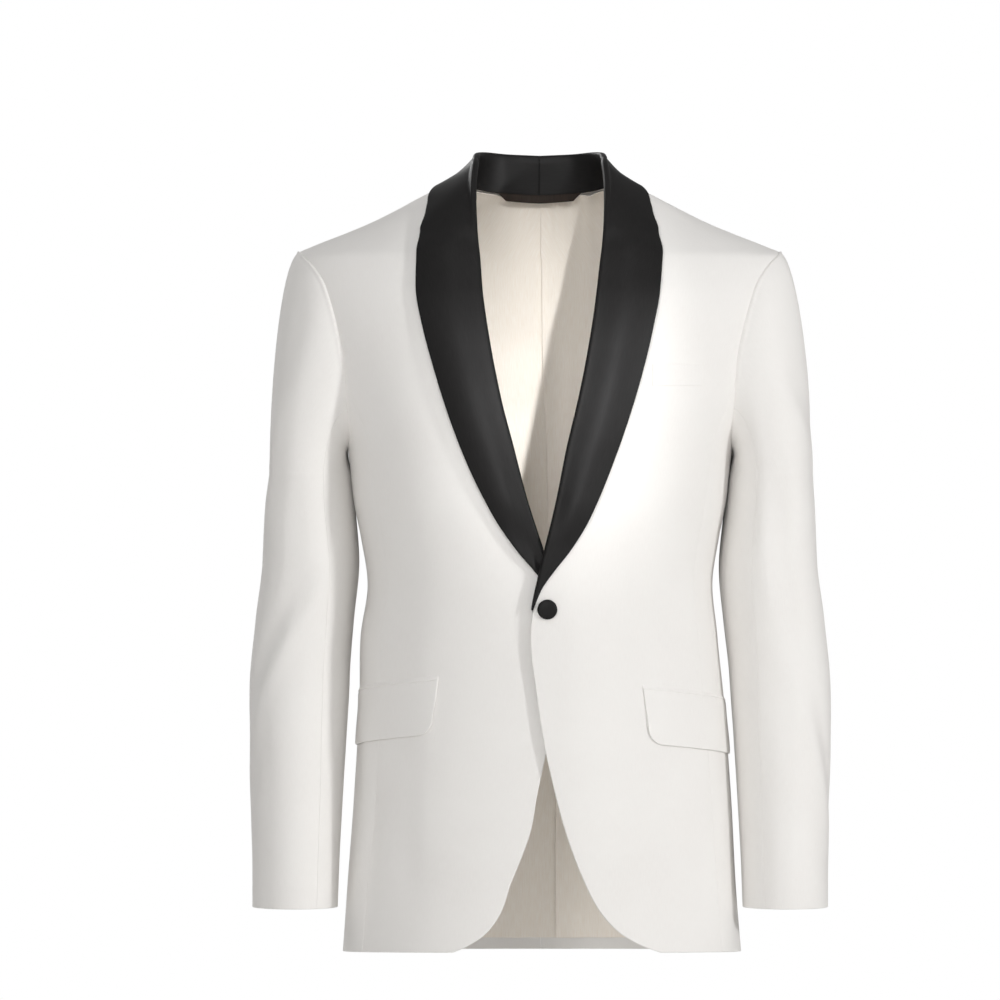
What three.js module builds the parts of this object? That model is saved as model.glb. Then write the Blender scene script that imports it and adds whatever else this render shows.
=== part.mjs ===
// An ivory dinner jacket with a black satin shawl collar, filled out as if it were worn, with nobody in it.
// Millimetres. +Z is up and the front faces -Y. The wearer's left is +X. The origin is midway between
// the shoulders, at the base of the neck, where the jacket is carried.
// Every cloth piece is a thin wall: its outer face follows a formula and its inner face lies one
// thickness further in.
import * as THREE from "three";

// Cloth thicknesses and the gaps that stand for seams.
const SUITING = 1.8;
const SATIN = 1.6;
const LINING = 1.0;
const FLAP = 1.6;
const TRIM = 1.2;
const SEAM_GAP = 0.3;
const LAYER_GAP = 0.6;
const FOLD_GAP = 1.2;
const ARMHOLE_GAP = 0.8;
const LINING_GAP = 1.2;

// Heights that the cut turns on.
const HEM = -751;
const HEM_TILT = 7;
const HEM_TILT_FADES_AT = -600;
const NECK_POINT = 25;
const NECK_BACK = 10;
const NECK_FRONT = -50;
const SHOULDER_POINT = -52;
const ARMHOLE_BOTTOM = -250;
const LAPEL_END = -412;

// Where the shoulder ridge and the side line lie, front to back.
const MIDLINE = 8;

const RAD = Math.PI / 180;

// Horizontal sections of the coat body from hem to neck point: half width at the side line, depth in
// front of it and behind it, the sideways shift of the section, and the exponent of its rounded outline.
const bodySections = [
  { z: -760, width: 202, front: 147, back: 137, shift: 2, square: 2.25 },
  { z: -690, width: 196.5, front: 143, back: 132, shift: 1.5, square: 2.25 },
  { z: -600, width: 189.5, front: 139, back: 124, shift: 2.5, square: 2.25 },
  { z: -510, width: 183, front: 136, back: 114, shift: 2, square: 2.25 },
  { z: -435, width: 178.5, front: 135.5, back: 106, shift: -1, square: 2.25 },
  { z: -385, width: 172.5, front: 137, back: 104, shift: 0, square: 2.25 },
  { z: -340, width: 178.5, front: 139, back: 108, shift: 0, square: 2.25 },
  { z: -300, width: 186, front: 141, back: 114, shift: 0, square: 2.3 },
  { z: -250, width: 192, front: 141, back: 120, shift: 0, square: 2.3 },
  { z: -200, width: 214, front: 138, back: 124, shift: 0, square: 2.15 },
  { z: -150, width: 236, front: 130, back: 124, shift: 0, square: 2 },
  { z: -100, width: 254, front: 115, back: 119, shift: 0, square: 2 },
  { z: -75, width: 257, front: 101, back: 115, shift: 0, square: 2 },
  { z: -58, width: 251, front: 90, back: 111.5, shift: 0, square: 2 },
  { z: -46, width: 226, front: 80, back: 108, shift: -1, square: 2 },
  { z: -34, width: 195.5, front: 69, back: 104, shift: -1, square: 2 },
  { z: -22, width: 167, front: 58, back: 99, shift: -1, square: 2 },
  { z: -10, width: 143, front: 46, back: 93, shift: -1, square: 2 },
  { z: 2, width: 120.5, front: 34, back: 84, shift: -1.5, square: 2 },
  { z: 10, width: 105, front: 25, back: 72, shift: -1.5, square: 2 },
  { z: 17, width: 90, front: 16, back: 49, shift: -1, square: 2 },
  { z: 25, width: 72, front: 6, back: 8, shift: 0, square: 2 },
];

// The closing line down the front: its sideways place, and how far each front reaches past it towards
// the other. A negative reach is the gap that the cutaway or the neck opening leaves.
const frontEdge = [
  { z: -752, line: 9, reach: -112 },
  { z: -744, line: 9, reach: -90 },
  { z: -730, line: 9, reach: -67 },
  { z: -708, line: 9, reach: -48 },
  { z: -675, line: 9, reach: -32 },
  { z: -630, line: 9, reach: -16 },
  { z: -585, line: 9, reach: -4 },
  { z: -540, line: 8.2, reach: 5 },
  { z: -490, line: 7.7, reach: 12 },
  { z: -440, line: 7, reach: 17 },
  { z: -412, line: 6.3, reach: 16 },
  { z: -375, line: 4, reach: 7 },
  { z: -349, line: 3, reach: 0 },
  { z: -300, line: 1, reach: -13.8 },
  { z: -250, line: -0.5, reach: -25.4 },
  { z: -200, line: -1, reach: -37.8 },
  { z: -150, line: -1, reach: -47.7 },
  { z: -100, line: -1, reach: -55.3 },
  { z: -50, line: 0, reach: -60.5 },
  { z: -30, line: 0, reach: -64 },
  { z: -10, line: 0, reach: -68 },
  { z: 10, line: 0, reach: -71 },
  { z: 25, line: 0, reach: -72 },
];

// How far the wearer's left front is lifted off the body where it closes over the right one.
const overlapLift = [
  { z: -752, lift: 0.6 },
  { z: -640, lift: 2.4 },
  { z: -480, lift: 3 },
  { z: -432, lift: 6.6 },
  { z: -412, lift: 7.8 },
  { z: -340, lift: 7.8 },
  { z: -300, lift: 4.5 },
  { z: -230, lift: 0 },
];
const LIFT_FULL_TO = 18;
const LIFT_ENDS_AT = 84;

// Soft folds of the body: where each lies round it (0 front, 180 back) and up it, how wide and long it
// is, how it leans, and how far it stands out or in.
const bodyFolds = [
  { turn: 66, z: -700, wide: 9, long: 150, lean: 0.02, depth: 2.4 },
  { turn: 90, z: -730, wide: 9, long: 110, lean: 0, depth: -2.4 },
  { turn: 122, z: -700, wide: 11, long: 170, lean: -0.02, depth: 3 },
  { turn: 150, z: -720, wide: 10, long: 150, lean: 0.01, depth: -2.2 },
  { turn: 140, z: -180, wide: 9, long: 90, lean: 0.03, depth: -2.4 },
  { turn: 148, z: -395, wide: 16, long: 36, lean: 0, depth: -2.2 },
  { turn: 38, z: -330, wide: 10, long: 100, lean: 0.03, depth: 1.5 },
];

// Where the seams between front, side and back run, measured round the body from the centre front.
const FRONT_SEAM = 60;
const BACK_SEAM = 120;

// The armhole seen from the side: its reach to the front and to the back, and the exponent of its egg.
const ARMHOLE_FRONT = 72;
const ARMHOLE_REAR = 67;
const ARMHOLE_ROUND = 0.85;

// Level sections of the sleeve under the arm: centre, half width, half depth, how far it is turned so
// that its rear leans in behind the body, and the exponent of its rounded outline.
const sleeveSections = [
  { z: -275, x: 230.6, y: 6, wide: 40.2, deep: 69, lean: 7, square: 2.25 },
  { z: -310, x: 229.8, y: 8, wide: 43.4, deep: 66, lean: 9, square: 2.3 },
  { z: -360, x: 228.2, y: 9, wide: 47.6, deep: 63, lean: 9, square: 2.3 },
  { z: -420, x: 234, y: 8, wide: 50, deep: 60, lean: 7, square: 2.2 },
  { z: -480, x: 240, y: 3, wide: 50.2, deep: 57, lean: 4, square: 2.1 },
  { z: -540, x: 242, y: -5, wide: 48.4, deep: 54.5, lean: 2, square: 2.05 },
  { z: -600, x: 243, y: -15, wide: 46, deep: 51.5, lean: 0, square: 2 },
  { z: -660, x: 243.4, y: -25, wide: 43.4, deep: 48.5, lean: 0, square: 2 },
  { z: -705, x: 244, y: -31, wide: 42.5, deep: 46.5, lean: 0, square: 2 },
];

// How the sleeve head leaves the armhole: the outward direction of its first stretch, how strongly it
// keeps to it, and how strongly it hangs at the end, as shares of the distance. 0 is the shoulder.
const sleeveHead = [
  { around: 0, x: 0.92, y: 0, z: -0.32, leave: 0.28, hang: 1 },
  { around: 45, x: 0.86, y: -0.34, z: -0.36, leave: 0.42, hang: 0.95 },
  { around: 90, x: 0.9, y: -0.32, z: -0.3, leave: 0.6, hang: 0.85 },
  { around: 140, x: 0.86, y: -0.2, z: -0.46, leave: 0.8, hang: 0.8 },
  { around: 180, x: 0.82, y: 0, z: -0.57, leave: 0.75, hang: 0.8 },
  { around: 220, x: 0.86, y: 0.2, z: -0.46, leave: 0.8, hang: 0.8 },
  { around: 270, x: 0.9, y: 0.32, z: -0.3, leave: 0.6, hang: 0.85 },
  { around: 315, x: 0.86, y: 0.34, z: -0.36, leave: 0.42, hang: 0.95 },
  { around: 360, x: 0.92, y: 0, z: -0.32, leave: 0.28, hang: 1 },
];

// Where the two seams of the sleeve run, measured round it from its outer side towards the front.
const SLEEVE_FRONT_SEAM = 122;
const SLEEVE_BACK_SEAM = -108;

// Folds of the sleeve, measured the same way round.
const sleeveFolds = [
  { turn: 36, z: -200, wide: 15, long: 80, lean: -0.1, depth: -2.6 },
  { turn: 66, z: -300, wide: 16, long: 100, lean: -0.1, depth: 2 },
  { turn: 45, z: -455, wide: 36, long: 17, lean: -0.5, depth: -4 },
  { turn: 60, z: -416, wide: 36, long: 17, lean: -0.5, depth: 2.4 },
  { turn: -70, z: -430, wide: 30, long: 24, lean: 0.35, depth: 2.4 },
  { turn: 20, z: -560, wide: 16, long: 70, lean: -0.12, depth: -2.2 },
  { turn: -92, z: -220, wide: 14, long: 70, lean: 0.1, depth: -2.4 },
];

// The shawl collar round the neck, from the centre back: its fold crest, its place along the neck seam
// (0 centre back, 1 neck point, 2 where the lapel starts), its outer edge round and up the body, and
// how far its fold is turned over, from 90 for a standing collar towards 0 for a lapel.
const neckStations = [
  { at: 0, x: 0, y: 77, z: 47.5, seam: 0, edgeTurn: 180, edgeZ: -3, fold: 90 },
  { at: 1, x: 32, y: 74.5, z: 49, seam: 0.21, edgeTurn: 163, edgeZ: -1, fold: 90 },
  { at: 2, x: 54, y: 60, z: 50.5, seam: 0.4, edgeTurn: 145, edgeZ: 3.5, fold: 90 },
  { at: 3, x: 64, y: 37, z: 49, seam: 0.62, edgeTurn: 118, edgeZ: 8.5, fold: 90 },
  { at: 4, x: 65, y: 11, z: 42, seam: 0.98, edgeTurn: 90, edgeZ: 11.5, fold: 88 },
  { at: 5, x: 66, y: -14, z: 25, seam: 1.2, edgeTurn: 62, edgeZ: 0, fold: 75 },
  { at: 6, x: 65, y: -38, z: 2, seam: 1.46, edgeTurn: 47.5, edgeZ: -15, fold: 50 },
  { at: 7, x: 63, y: -58.5, z: -25, seam: 1.72, edgeTurn: 36, edgeZ: -36, fold: 25 },
];

// Down the chest the crest follows the front edge, and the outer edge is given by its height and its
// distance from the closing line.
const lapelStations = [
  { at: 0, crestZ: -50, edgeZ: -58, edge: 119.5 },
  { at: 1, crestZ: -85, edgeZ: -92, edge: 118 },
  { at: 2, crestZ: -125, edgeZ: -132, edge: 110.8 },
  { at: 3, crestZ: -165, edgeZ: -173, edge: 100.8 },
  { at: 4, crestZ: -205, edgeZ: -213, edge: 89 },
  { at: 5, crestZ: -245, edgeZ: -254, edge: 74.4 },
  { at: 6, crestZ: -280, edgeZ: -290, edge: 59.5 },
  { at: 7, crestZ: -312, edgeZ: -322, edge: 43.3 },
  { at: 8, crestZ: -340, edgeZ: -350, edge: 25 },
  { at: 9, crestZ: -361, edgeZ: -368, edge: 10.5 },
  { at: 10, crestZ: -384, edgeZ: -389, edge: -4 },
  { at: 11, crestZ: -408, edgeZ: -410, edge: -12.2 },
];
const FOLD_RADIUS = 3.7;
const FACING_RETURN = 12;
const LAPEL_BOW = 3;
const NECK_BOW = 1.2;
const LAPEL_EDGE_RISE = 1.8;

// Pocket flaps: height of the front top corner and its distance from the middle, then the real size.
const flaps = [
  { name: "left", side: 1, top: -486, start: 102 },
  { name: "right", side: -1, top: -477, start: 100 },
];
const FLAP_LENGTH = 148;
const FLAP_HEIGHT = 54;
const FLAP_SLOPE = 0.1;
const FLAP_CORNER = 15;
const JET_HEIGHT = 5;
const JET_GAP = 0.5;

// The welt of the breast pocket, on the wearer's left.
const WELT_FROM = 90;
const WELT_TO = 158;
const WELT_BOTTOM = -187;
const WELT_HEIGHT = 22;
const WELT_SLOPE = 0.04;

const BUTTON_X = 6.3;
const BUTTON_Z = -407;
const BUTTON_RADIUS = 9.8;
const BUTTON_HEIGHT = 4.2;

// The hanger loop, a flat tape that hangs from the foot of the collar stand.
const HANGER_HALF = 42;
const HANGER_NARROWER = 8;
const HANGER_DROP = 9.6;

// Back lining: its hem, its outer edge round the body, and the pleat at the centre back.
const LINING_HEM = -739;
const LINING_SIDE = 126;
const PLEAT_OVERLAP = 12;
const PLEAT_RISE = 2;

// Interpolates one column of a table smoothly and without overshoot, by height or by another column.
function column(rows, key, by = "z") {
  const sorted = [...rows].sort((a, b) => a[by] - b[by]);
  const z = sorted.map((row) => row[by]);
  const v = sorted.map((row) => row[key]);
  const rise = z.slice(1).map((next, i) => (v[i + 1] - v[i]) / (next - z[i]));
  const slope = z.map((_, i) => {
    if (i === 0) return rise[0];
    if (i === z.length - 1) return rise[i - 1];
    const product = rise[i - 1] * rise[i];
    return product <= 0 ? 0 : (2 * product) / (rise[i - 1] + rise[i]);
  });
  return (place) => {
    if (place <= z[0]) return v[0];
    if (place >= z[z.length - 1]) return v[v.length - 1];
    const i = z.findIndex((next) => next > place) - 1;
    const span = z[i + 1] - z[i];
    const t = (place - z[i]) / span;
    const left = v[i] * (1 + 2 * t) + slope[i] * span * t;
    const right = v[i + 1] * (3 - 2 * t) - slope[i + 1] * span * (1 - t);
    return left * (1 - t) * (1 - t) + right * t * t;
  };
}

// All columns of a table, each as a function of the chosen one.
function columns(rows, by = "z") {
  const keys = Object.keys(rows[0]).filter((key) => key !== by);
  return Object.fromEntries(keys.map((key) => [key, column(rows, key, by)]));
}

const mix = (a, b, t) => a + (b - a) * t;
const clamp = (t) => Math.min(1, Math.max(0, t));
const steps = (n) => Array.from({ length: n + 1 }, (_, i) => i / n);
const vector = (x, y, z) => new THREE.Vector3(x, y, z);
const between = (p, q, t) => p.clone().lerp(q, t);

// 0 below start, 1 above end, and an even curve between them.
function ease(start, end, value) {
  const t = clamp((value - start) / (end - start));
  return t * t * (3 - 2 * t);
}

// A sine or cosine raised to a power with its sign kept, for outlines squarer than an ellipse.
function power(value, exponent) {
  return Math.sign(value) * Math.pow(Math.abs(value), exponent);
}

const body = columns(bodySections);
const edge = columns(frontEdge);
const lift = column(overlapLift, "lift");

// How far a set of folds moves the cloth at a place: each is a soft bell, longer than it is wide.
function foldDepth(folds, turn, z) {
  return folds.reduce((sum, fold) => {
    const away = z - fold.z;
    const across = (turn - fold.turn - fold.lean * away) / fold.wide;
    return sum + fold.depth * Math.exp(-across * across - (away / fold.long) ** 2);
  }, 0);
}

// A point of the coat body's outer face. turn runs from 0 at the centre front to 180 at the centre
// back; side is 1 on the wearer's left and -1 on the right.
function bodyPoint(side, turn, z) {
  const tilt = HEM_TILT * Math.cos(turn * RAD) * (1 - ease(HEM, HEM_TILT_FADES_AT, z));
  const exponent = 2 / body.square(z);
  const s = power(Math.sin(turn * RAD), exponent);
  const c = power(Math.cos(turn * RAD), exponent);
  const fold = foldDepth(bodyFolds, turn, z);
  const depth = (c > 0 ? body.front(z) : body.back(z)) + fold;
  const across = (body.width(z) + fold) * s;
  return vector(body.shift(z) + side * across, MIDLINE - depth * c, z + tilt);
}

// The outward direction of the body's outer face. Along the shoulder ridge both sides share one.
function bodyNormal(side, place, z) {
  const h = 0.5;
  const turn = z > SHOULDER_POINT - 1 && Math.abs(place - 90) < 3 ? 90 : place;
  const round = bodyPoint(side, turn + h, z).sub(bodyPoint(side, turn - h, z));
  const up = bodyPoint(side, turn, z + h).sub(bodyPoint(side, turn, z - h));
  return round.cross(up).multiplyScalar(side).normalize();
}

// The turn at which the body reaches a sideways place x, on the front half.
function turnAt(side, x, z) {
  const across = (side * (x - body.shift(z))) / body.width(z);
  return Math.asin(power(across, body.square(z) / 2)) / RAD;
}

// The turn at which the body reaches the depth y.
function turnAtDepth(y, z) {
  const depth = y < MIDLINE ? body.front(z) : body.back(z);
  const c = power((MIDLINE - y) / depth, body.square(z) / 2);
  return Math.acos(Math.max(-1, Math.min(1, c))) / RAD;
}

// A point at a distance out from the body. The wearer's left front is lifted where it laps the right.
function coatPoint(side, turn, z, out = 0) {
  const p = bodyPoint(side, turn, z);
  const inFront = side > 0 && turn < 90;
  const raised = inFront ? lift(z) * (1 - ease(LIFT_FULL_TO, LIFT_ENDS_AT, p.x - edge.line(z))) : 0;
  return p.addScaledVector(bodyNormal(side, turn, z), raised + out);
}

// The armhole seam: around is 0 at the shoulder point, 90 at the front, 180 at the underarm.
function armhole(around) {
  const middle = (SHOULDER_POINT + ARMHOLE_BOTTOM) / 2;
  const half = (SHOULDER_POINT - ARMHOLE_BOTTOM) / 2;
  const s = power(Math.sin(around * RAD), ARMHOLE_ROUND);
  const c = power(Math.cos(around * RAD), ARMHOLE_ROUND);
  const y = MIDLINE - s * (s > 0 ? ARMHOLE_FRONT : ARMHOLE_REAR);
  const z = middle + half * c;
  return { turn: turnAtDepth(y, z), z };
}

// The armhole place whose turn is the one given, found by halving. The turn grows from low to high.
function armholeAt(turn, low, high) {
  for (let i = 0; i < 40; i++) {
    const middle = (low + high) / 2;
    if (armhole(middle).turn > turn) high = middle;
    else low = middle;
  }
  return (low + high) / 2;
}
const FRONT_SEAM_TOP = armholeAt(FRONT_SEAM, 100, 180);
const BACK_SEAM_TOP = armholeAt(BACK_SEAM, 180, 262);

// A named mesh from points and faces, turned so that its faces point outwards.
function solid(name, positions, faces, material) {
  const p = (i) => vector(...positions.slice(3 * i, 3 * i + 3));
  let volume = 0;
  for (let i = 0; i < faces.length; i += 3)
    volume += p(faces[i]).dot(p(faces[i + 1]).cross(p(faces[i + 2])));
  if (volume < 0) faces.reverse();
  const geometry = new THREE.BufferGeometry();
  geometry.setAttribute("position", new THREE.Float32BufferAttribute(positions, 3));
  geometry.setIndex(faces);
  geometry.computeVertexNormals();
  const mesh = new THREE.Mesh(geometry, material);
  mesh.name = name;
  return mesh;
}

// The closed wall between two grids of points, one for each face.
function wall(name, outer, inner, material) {
  const rows = outer.length;
  const across = outer[0].length;
  const positions = [...outer.flat(), ...inner.flat()].flatMap((p) => [p.x, p.y, p.z]);
  const near = (i, j) => i * across + j;
  const far = (i, j) => rows * across + near(i, j);
  const faces = [];
  const quad = (a, b, c, d) => faces.push(a, b, c, a, c, d);
  for (let i = 0; i < rows - 1; i++) {
    for (let j = 0; j < across - 1; j++) {
      quad(near(i, j), near(i, j + 1), near(i + 1, j + 1), near(i + 1, j));
      quad(far(i, j), far(i + 1, j), far(i + 1, j + 1), far(i, j + 1));
    }
    quad(near(i, 0), near(i + 1, 0), far(i + 1, 0), far(i, 0));
    quad(near(i, across - 1), far(i, across - 1), far(i + 1, across - 1), near(i + 1, across - 1));
  }
  for (let j = 0; j < across - 1; j++) {
    quad(near(0, j), far(0, j), far(0, j + 1), near(0, j + 1));
    quad(near(rows - 1, j), near(rows - 1, j + 1), far(rows - 1, j + 1), far(rows - 1, j));
  }
  return solid(name, positions, faces, material);
}

// The direction square to a grid of points at one of them, from its neighbours.
function gridNormal(grid, i, j) {
  const row = (k) => grid[Math.min(grid.length - 1, Math.max(0, k))];
  const along = row(i + 1)[j].clone().sub(row(i - 1)[j]);
  const last = grid[i].length - 1;
  const across = grid[i][Math.min(last, j + 1)].clone().sub(grid[i][Math.max(0, j - 1)]);
  return across.cross(along).normalize();
}

// The other face of a wall: every point moved along the grid's own normal by a distance.
function offset(grid, distance) {
  return grid.map((row, i) => row.map((p, j) => p.clone().addScaledVector(gridNormal(grid, i, j), distance)));
}

const ivory = new THREE.MeshStandardMaterial({ color: 0xe9e7e2, roughness: 0.85, metalness: 0 });
const blackSatin = new THREE.MeshStandardMaterial({ color: 0x1b1a1b, roughness: 0.5, metalness: 0 });
const creamSatin = new THREE.MeshStandardMaterial({ color: 0xe3dac4, roughness: 0.4, metalness: 0 });

// A wall whose two faces lie on the coat body, each point at its own distance out from it.
// cells holds rows of { turn, z, out }; out is that of the outer face.
function bodyWall(name, side, cells, thickness, material) {
  const face = (depth) =>
    cells.map((row) => row.map((cell) => coatPoint(side, cell.turn, cell.z, (cell.out ?? 0) - depth)));
  return wall(name, face(0), face(thickness), material);
}

// Rows of places, each drawn straight from the first place of a pair to the second.
function spread(pairs, count) {
  const place = ([from, to], t) => ({ turn: mix(from.turn, to.turn, t), z: mix(from.z, to.z, t) });
  return pairs.map((pair) => steps(count).map((t) => place(pair, t)));
}

// Half a seam gap as an angle round the body, at a height away from the shoulder ridge.
const seamTurn = (z) => SEAM_GAP / 2 / (body.width(z) * RAD);

// The shoulder seam's place at a height, half a seam gap in front of the ridge or behind it.
const ridge = (z, towards) => ({ turn: turnAtDepth(MIDLINE + (towards * SEAM_GAP) / 2, z), z });

// The inner edge of a front: the cutaway, the closing edge and the line where the lapel rolls, set back
// inside the satin's fold, then the neck seam up to the shoulder.
function frontInner(side, z) {
  const tucked = ease(LAPEL_END - 14, LAPEL_END, z) * (1 - ease(-28, -8, z));
  const reach = edge.reach(z) - (FOLD_RADIUS + 0.3) * tucked;
  if (z >= NECK_POINT) return ridge(z, -1);
  return { turn: turnAt(side, edge.line(z) - side * reach, z), z };
}

// The height of the neck seam on the back half.
const backNeck = (turn) => mix(NECK_BACK, NECK_POINT, Math.pow((180 - turn) / 90, 1.4));

// Heights of the rows that the panels share along their side seams, so that their edges match. The
// first few are for the round of the cutaway only.
const CUTAWAY_ROWS = [-751, -748, -742, -732];
const SEAM_ROWS = [-716, -695, -666, -632, -592, -548, -505, -466, -438, -412, -390, -364, -336, -306, -275];

// Heights of the rows above them at the centre back, closest together where the back rounds over.
const BACK_ROWS = [-183, -148, -114, -84, -60, -40, -23, -8, 2];

// The rows from the hem up one of the two side seams to the armhole.
function seamRows(seamTop, cutaway) {
  const top = armhole(seamTop).z;
  const base = SEAM_ROWS[SEAM_ROWS.length - 1];
  return [...(cutaway ? CUTAWAY_ROWS : [HEM]), ...SEAM_ROWS, mix(base, top, 0.5), top];
}

function front(side, name) {
  const outer = (z) => ({ turn: FRONT_SEAM - seamTurn(z), z });
  const heights = seamRows(FRONT_SEAM_TOP, true);
  const lower = heights.slice(0, -1).map((z) => [frontInner(side, z), outer(z)]);
  const upper = steps(13).map((t) => {
    const inner = frontInner(side, mix(heights[heights.length - 1], NECK_POINT, t));
    if (t === 1) return [inner, ridge(SHOULDER_POINT, -1)];
    const place = armhole(mix(FRONT_SEAM_TOP, 0, t));
    return [inner, { turn: place.turn - seamTurn(place.z), z: place.z }];
  });
  return bodyWall(name, side, spread([...lower, ...upper], 9), SUITING, ivory);
}

function sidePanel(side, name) {
  const turns = steps(8).map((t) => mix(FRONT_SEAM, BACK_SEAM, t));
  const heights = turns.map((turn) => seamRows(armholeAt(turn, FRONT_SEAM_TOP, BACK_SEAM_TOP), false));
  const rows = heights[0].map((_, up) =>
    turns.map((turn, i) => {
      const z = heights[i][up];
      const inset = i === 0 ? 1 : i === turns.length - 1 ? -1 : 0;
      return { turn: turn + inset * seamTurn(z), z };
    })
  );
  return bodyWall(name, side, rows, SUITING, ivory);
}

function back(side, name) {
  const centre = (z) => ({ turn: 180 - seamTurn(z), z });
  const heights = seamRows(BACK_SEAM_TOP, false);
  const lower = heights.map((z) => [centre(z), { turn: BACK_SEAM + seamTurn(z), z }]);
  const neckline = steps(7).slice(1).map((t) => {
    const turn = mix(180, 90, t);
    return t === 1 ? ridge(NECK_POINT, 1) : { turn, z: backNeck(turn) };
  });
  const inner = [...[...BACK_ROWS, NECK_BACK].map(centre), ...neckline];
  const upper = inner.map((place, i) => {
    const t = (i + 1) / inner.length;
    const hole = armhole(mix(BACK_SEAM_TOP, 360, t));
    return [place, t === 1 ? ridge(SHOULDER_POINT, 1) : { turn: hole.turn + seamTurn(hole.z), z: hole.z }];
  });
  return bodyWall(name, side, spread([...lower, ...upper], 8), SUITING, ivory);
}

const head = columns(sleeveHead, "around");
const arm = columns(sleeveSections);

// The same angle between -180 and 180.
const halfTurn = (turn) => ((((turn + 180) % 360) + 360) % 360) - 180;

// A point of the sleeve's outer face below the underarm. turn is 0 on the outer side, 90 in front.
function sleevePoint(side, turn, z) {
  const fold = foldDepth(sleeveFolds, halfTurn(turn), z);
  const exponent = 2 / arm.square(z);
  const across = (arm.wide(z) + fold) * power(Math.cos(turn * RAD), exponent);
  const forward = (arm.deep(z) + fold) * power(Math.sin(turn * RAD), exponent);
  const cos = Math.cos(arm.lean(z) * RAD);
  const sin = Math.sin(arm.lean(z) * RAD);
  return vector(side * (arm.x(z) + across * cos + forward * sin), arm.y(z) - forward * cos + across * sin, z);
}

// A point of the sleeve head, from the armhole seam at 0 to the first level section at 1.
function headPoint(side, turn, t) {
  const around = (turn + 360) % 360;
  const place = armhole(around);
  const leave = vector(side * head.x(around), head.y(around), head.z(around)).normalize();
  const start = bodyPoint(side, place.turn, place.z).addScaledVector(leave, ARMHOLE_GAP);
  const end = sleevePoint(side, turn, sleeveSections[0].z);
  const length = start.distanceTo(end);
  const t2 = t * t;
  const t3 = t2 * t;
  return start
    .clone()
    .multiplyScalar(2 * t3 - 3 * t2 + 1)
    .addScaledVector(leave, (t3 - 2 * t2 + t) * length * head.leave(around))
    .addScaledVector(end, 3 * t2 - 2 * t3)
    .addScaledVector(vector(0, 0, -1), (t3 - t2) * length * head.hang(around))
    .addScaledVector(vector(side, 0, 0), foldDepth(sleeveFolds, halfTurn(turn), mix(-80, -275, t)) * 4 * t * (1 - t));
}

// Height of each level row of the sleeve, closest together over the folds at the elbow.
const sleeveRows = [-293, -315, -340, -365, -388, -406, -424, -442, -460, -480, -510, -545, -590, -640, -680, -705];

function sleeve(side, name, fromTurn, toTurn, count) {
  const gap = SEAM_GAP / 2 / (50 * RAD);
  const turns = steps(count).map((t) => mix(fromTurn + gap, toTurn - gap, t));
  const step = (toTurn - fromTurn) / count;
  const beyond = [turns[0] - step, ...turns, turns[count] + step];
  const headRows = [0, 0.07, 0.16, 0.27, 0.4, 0.55, 0.72, 0.87, 1];
  const rows = [
    ...headRows.map((t) => beyond.map((turn) => headPoint(side, turn, t))),
    ...sleeveRows.map((z) => beyond.map((turn) => sleevePoint(side, turn, z))),
  ];
  const trim = (grid) => grid.map((row) => row.slice(1, -1));
  return wall(name, trim(rows), trim(offset(rows, -side * SUITING)), ivory);
}

const neck = columns(neckStations, "at");
const lapel = columns(lapelStations, "at");

// A place on the neck seam: 0 at the centre back, 1 at the neck point, 2 where the lapel starts.
function neckSeam(side, along) {
  if (along > 1) return frontInner(side, mix(NECK_POINT, NECK_FRONT, along - 1));
  const turn = 180 - 90 * along;
  return { turn, z: backNeck(turn) };
}

// The outward direction of the body beside the neck seam, turned evenly over the shoulder ridge.
function neckNormal(side, along) {
  const at = (s) => {
    const place = neckSeam(side, s);
    return bodyNormal(side, place.turn, place.z);
  };
  if (along < 0.7 || along > 1.3) return at(along);
  return at(0.7).lerp(at(1.3), ease(0.7, 1.3, along)).normalize();
}

// One section through the folded satin: from its inner end round the fold to its outer edge. core is
// the middle of the fold, top points to its crest and out points to the side that falls.
function foldSection(inner, core, top, out, fall) {
  const around = (angle) =>
    core
      .clone()
      .addScaledVector(top, FOLD_RADIUS * Math.cos(angle * RAD))
      .addScaledVector(out, FOLD_RADIUS * Math.sin(angle * RAD));
  const foot = around(-90);
  return [inner, between(inner, foot, 0.5), foot, around(-45), around(0), around(45), around(90), ...fall];
}

const FALL_STEPS = [0.18, 0.38, 0.6, 0.82, 1];

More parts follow.
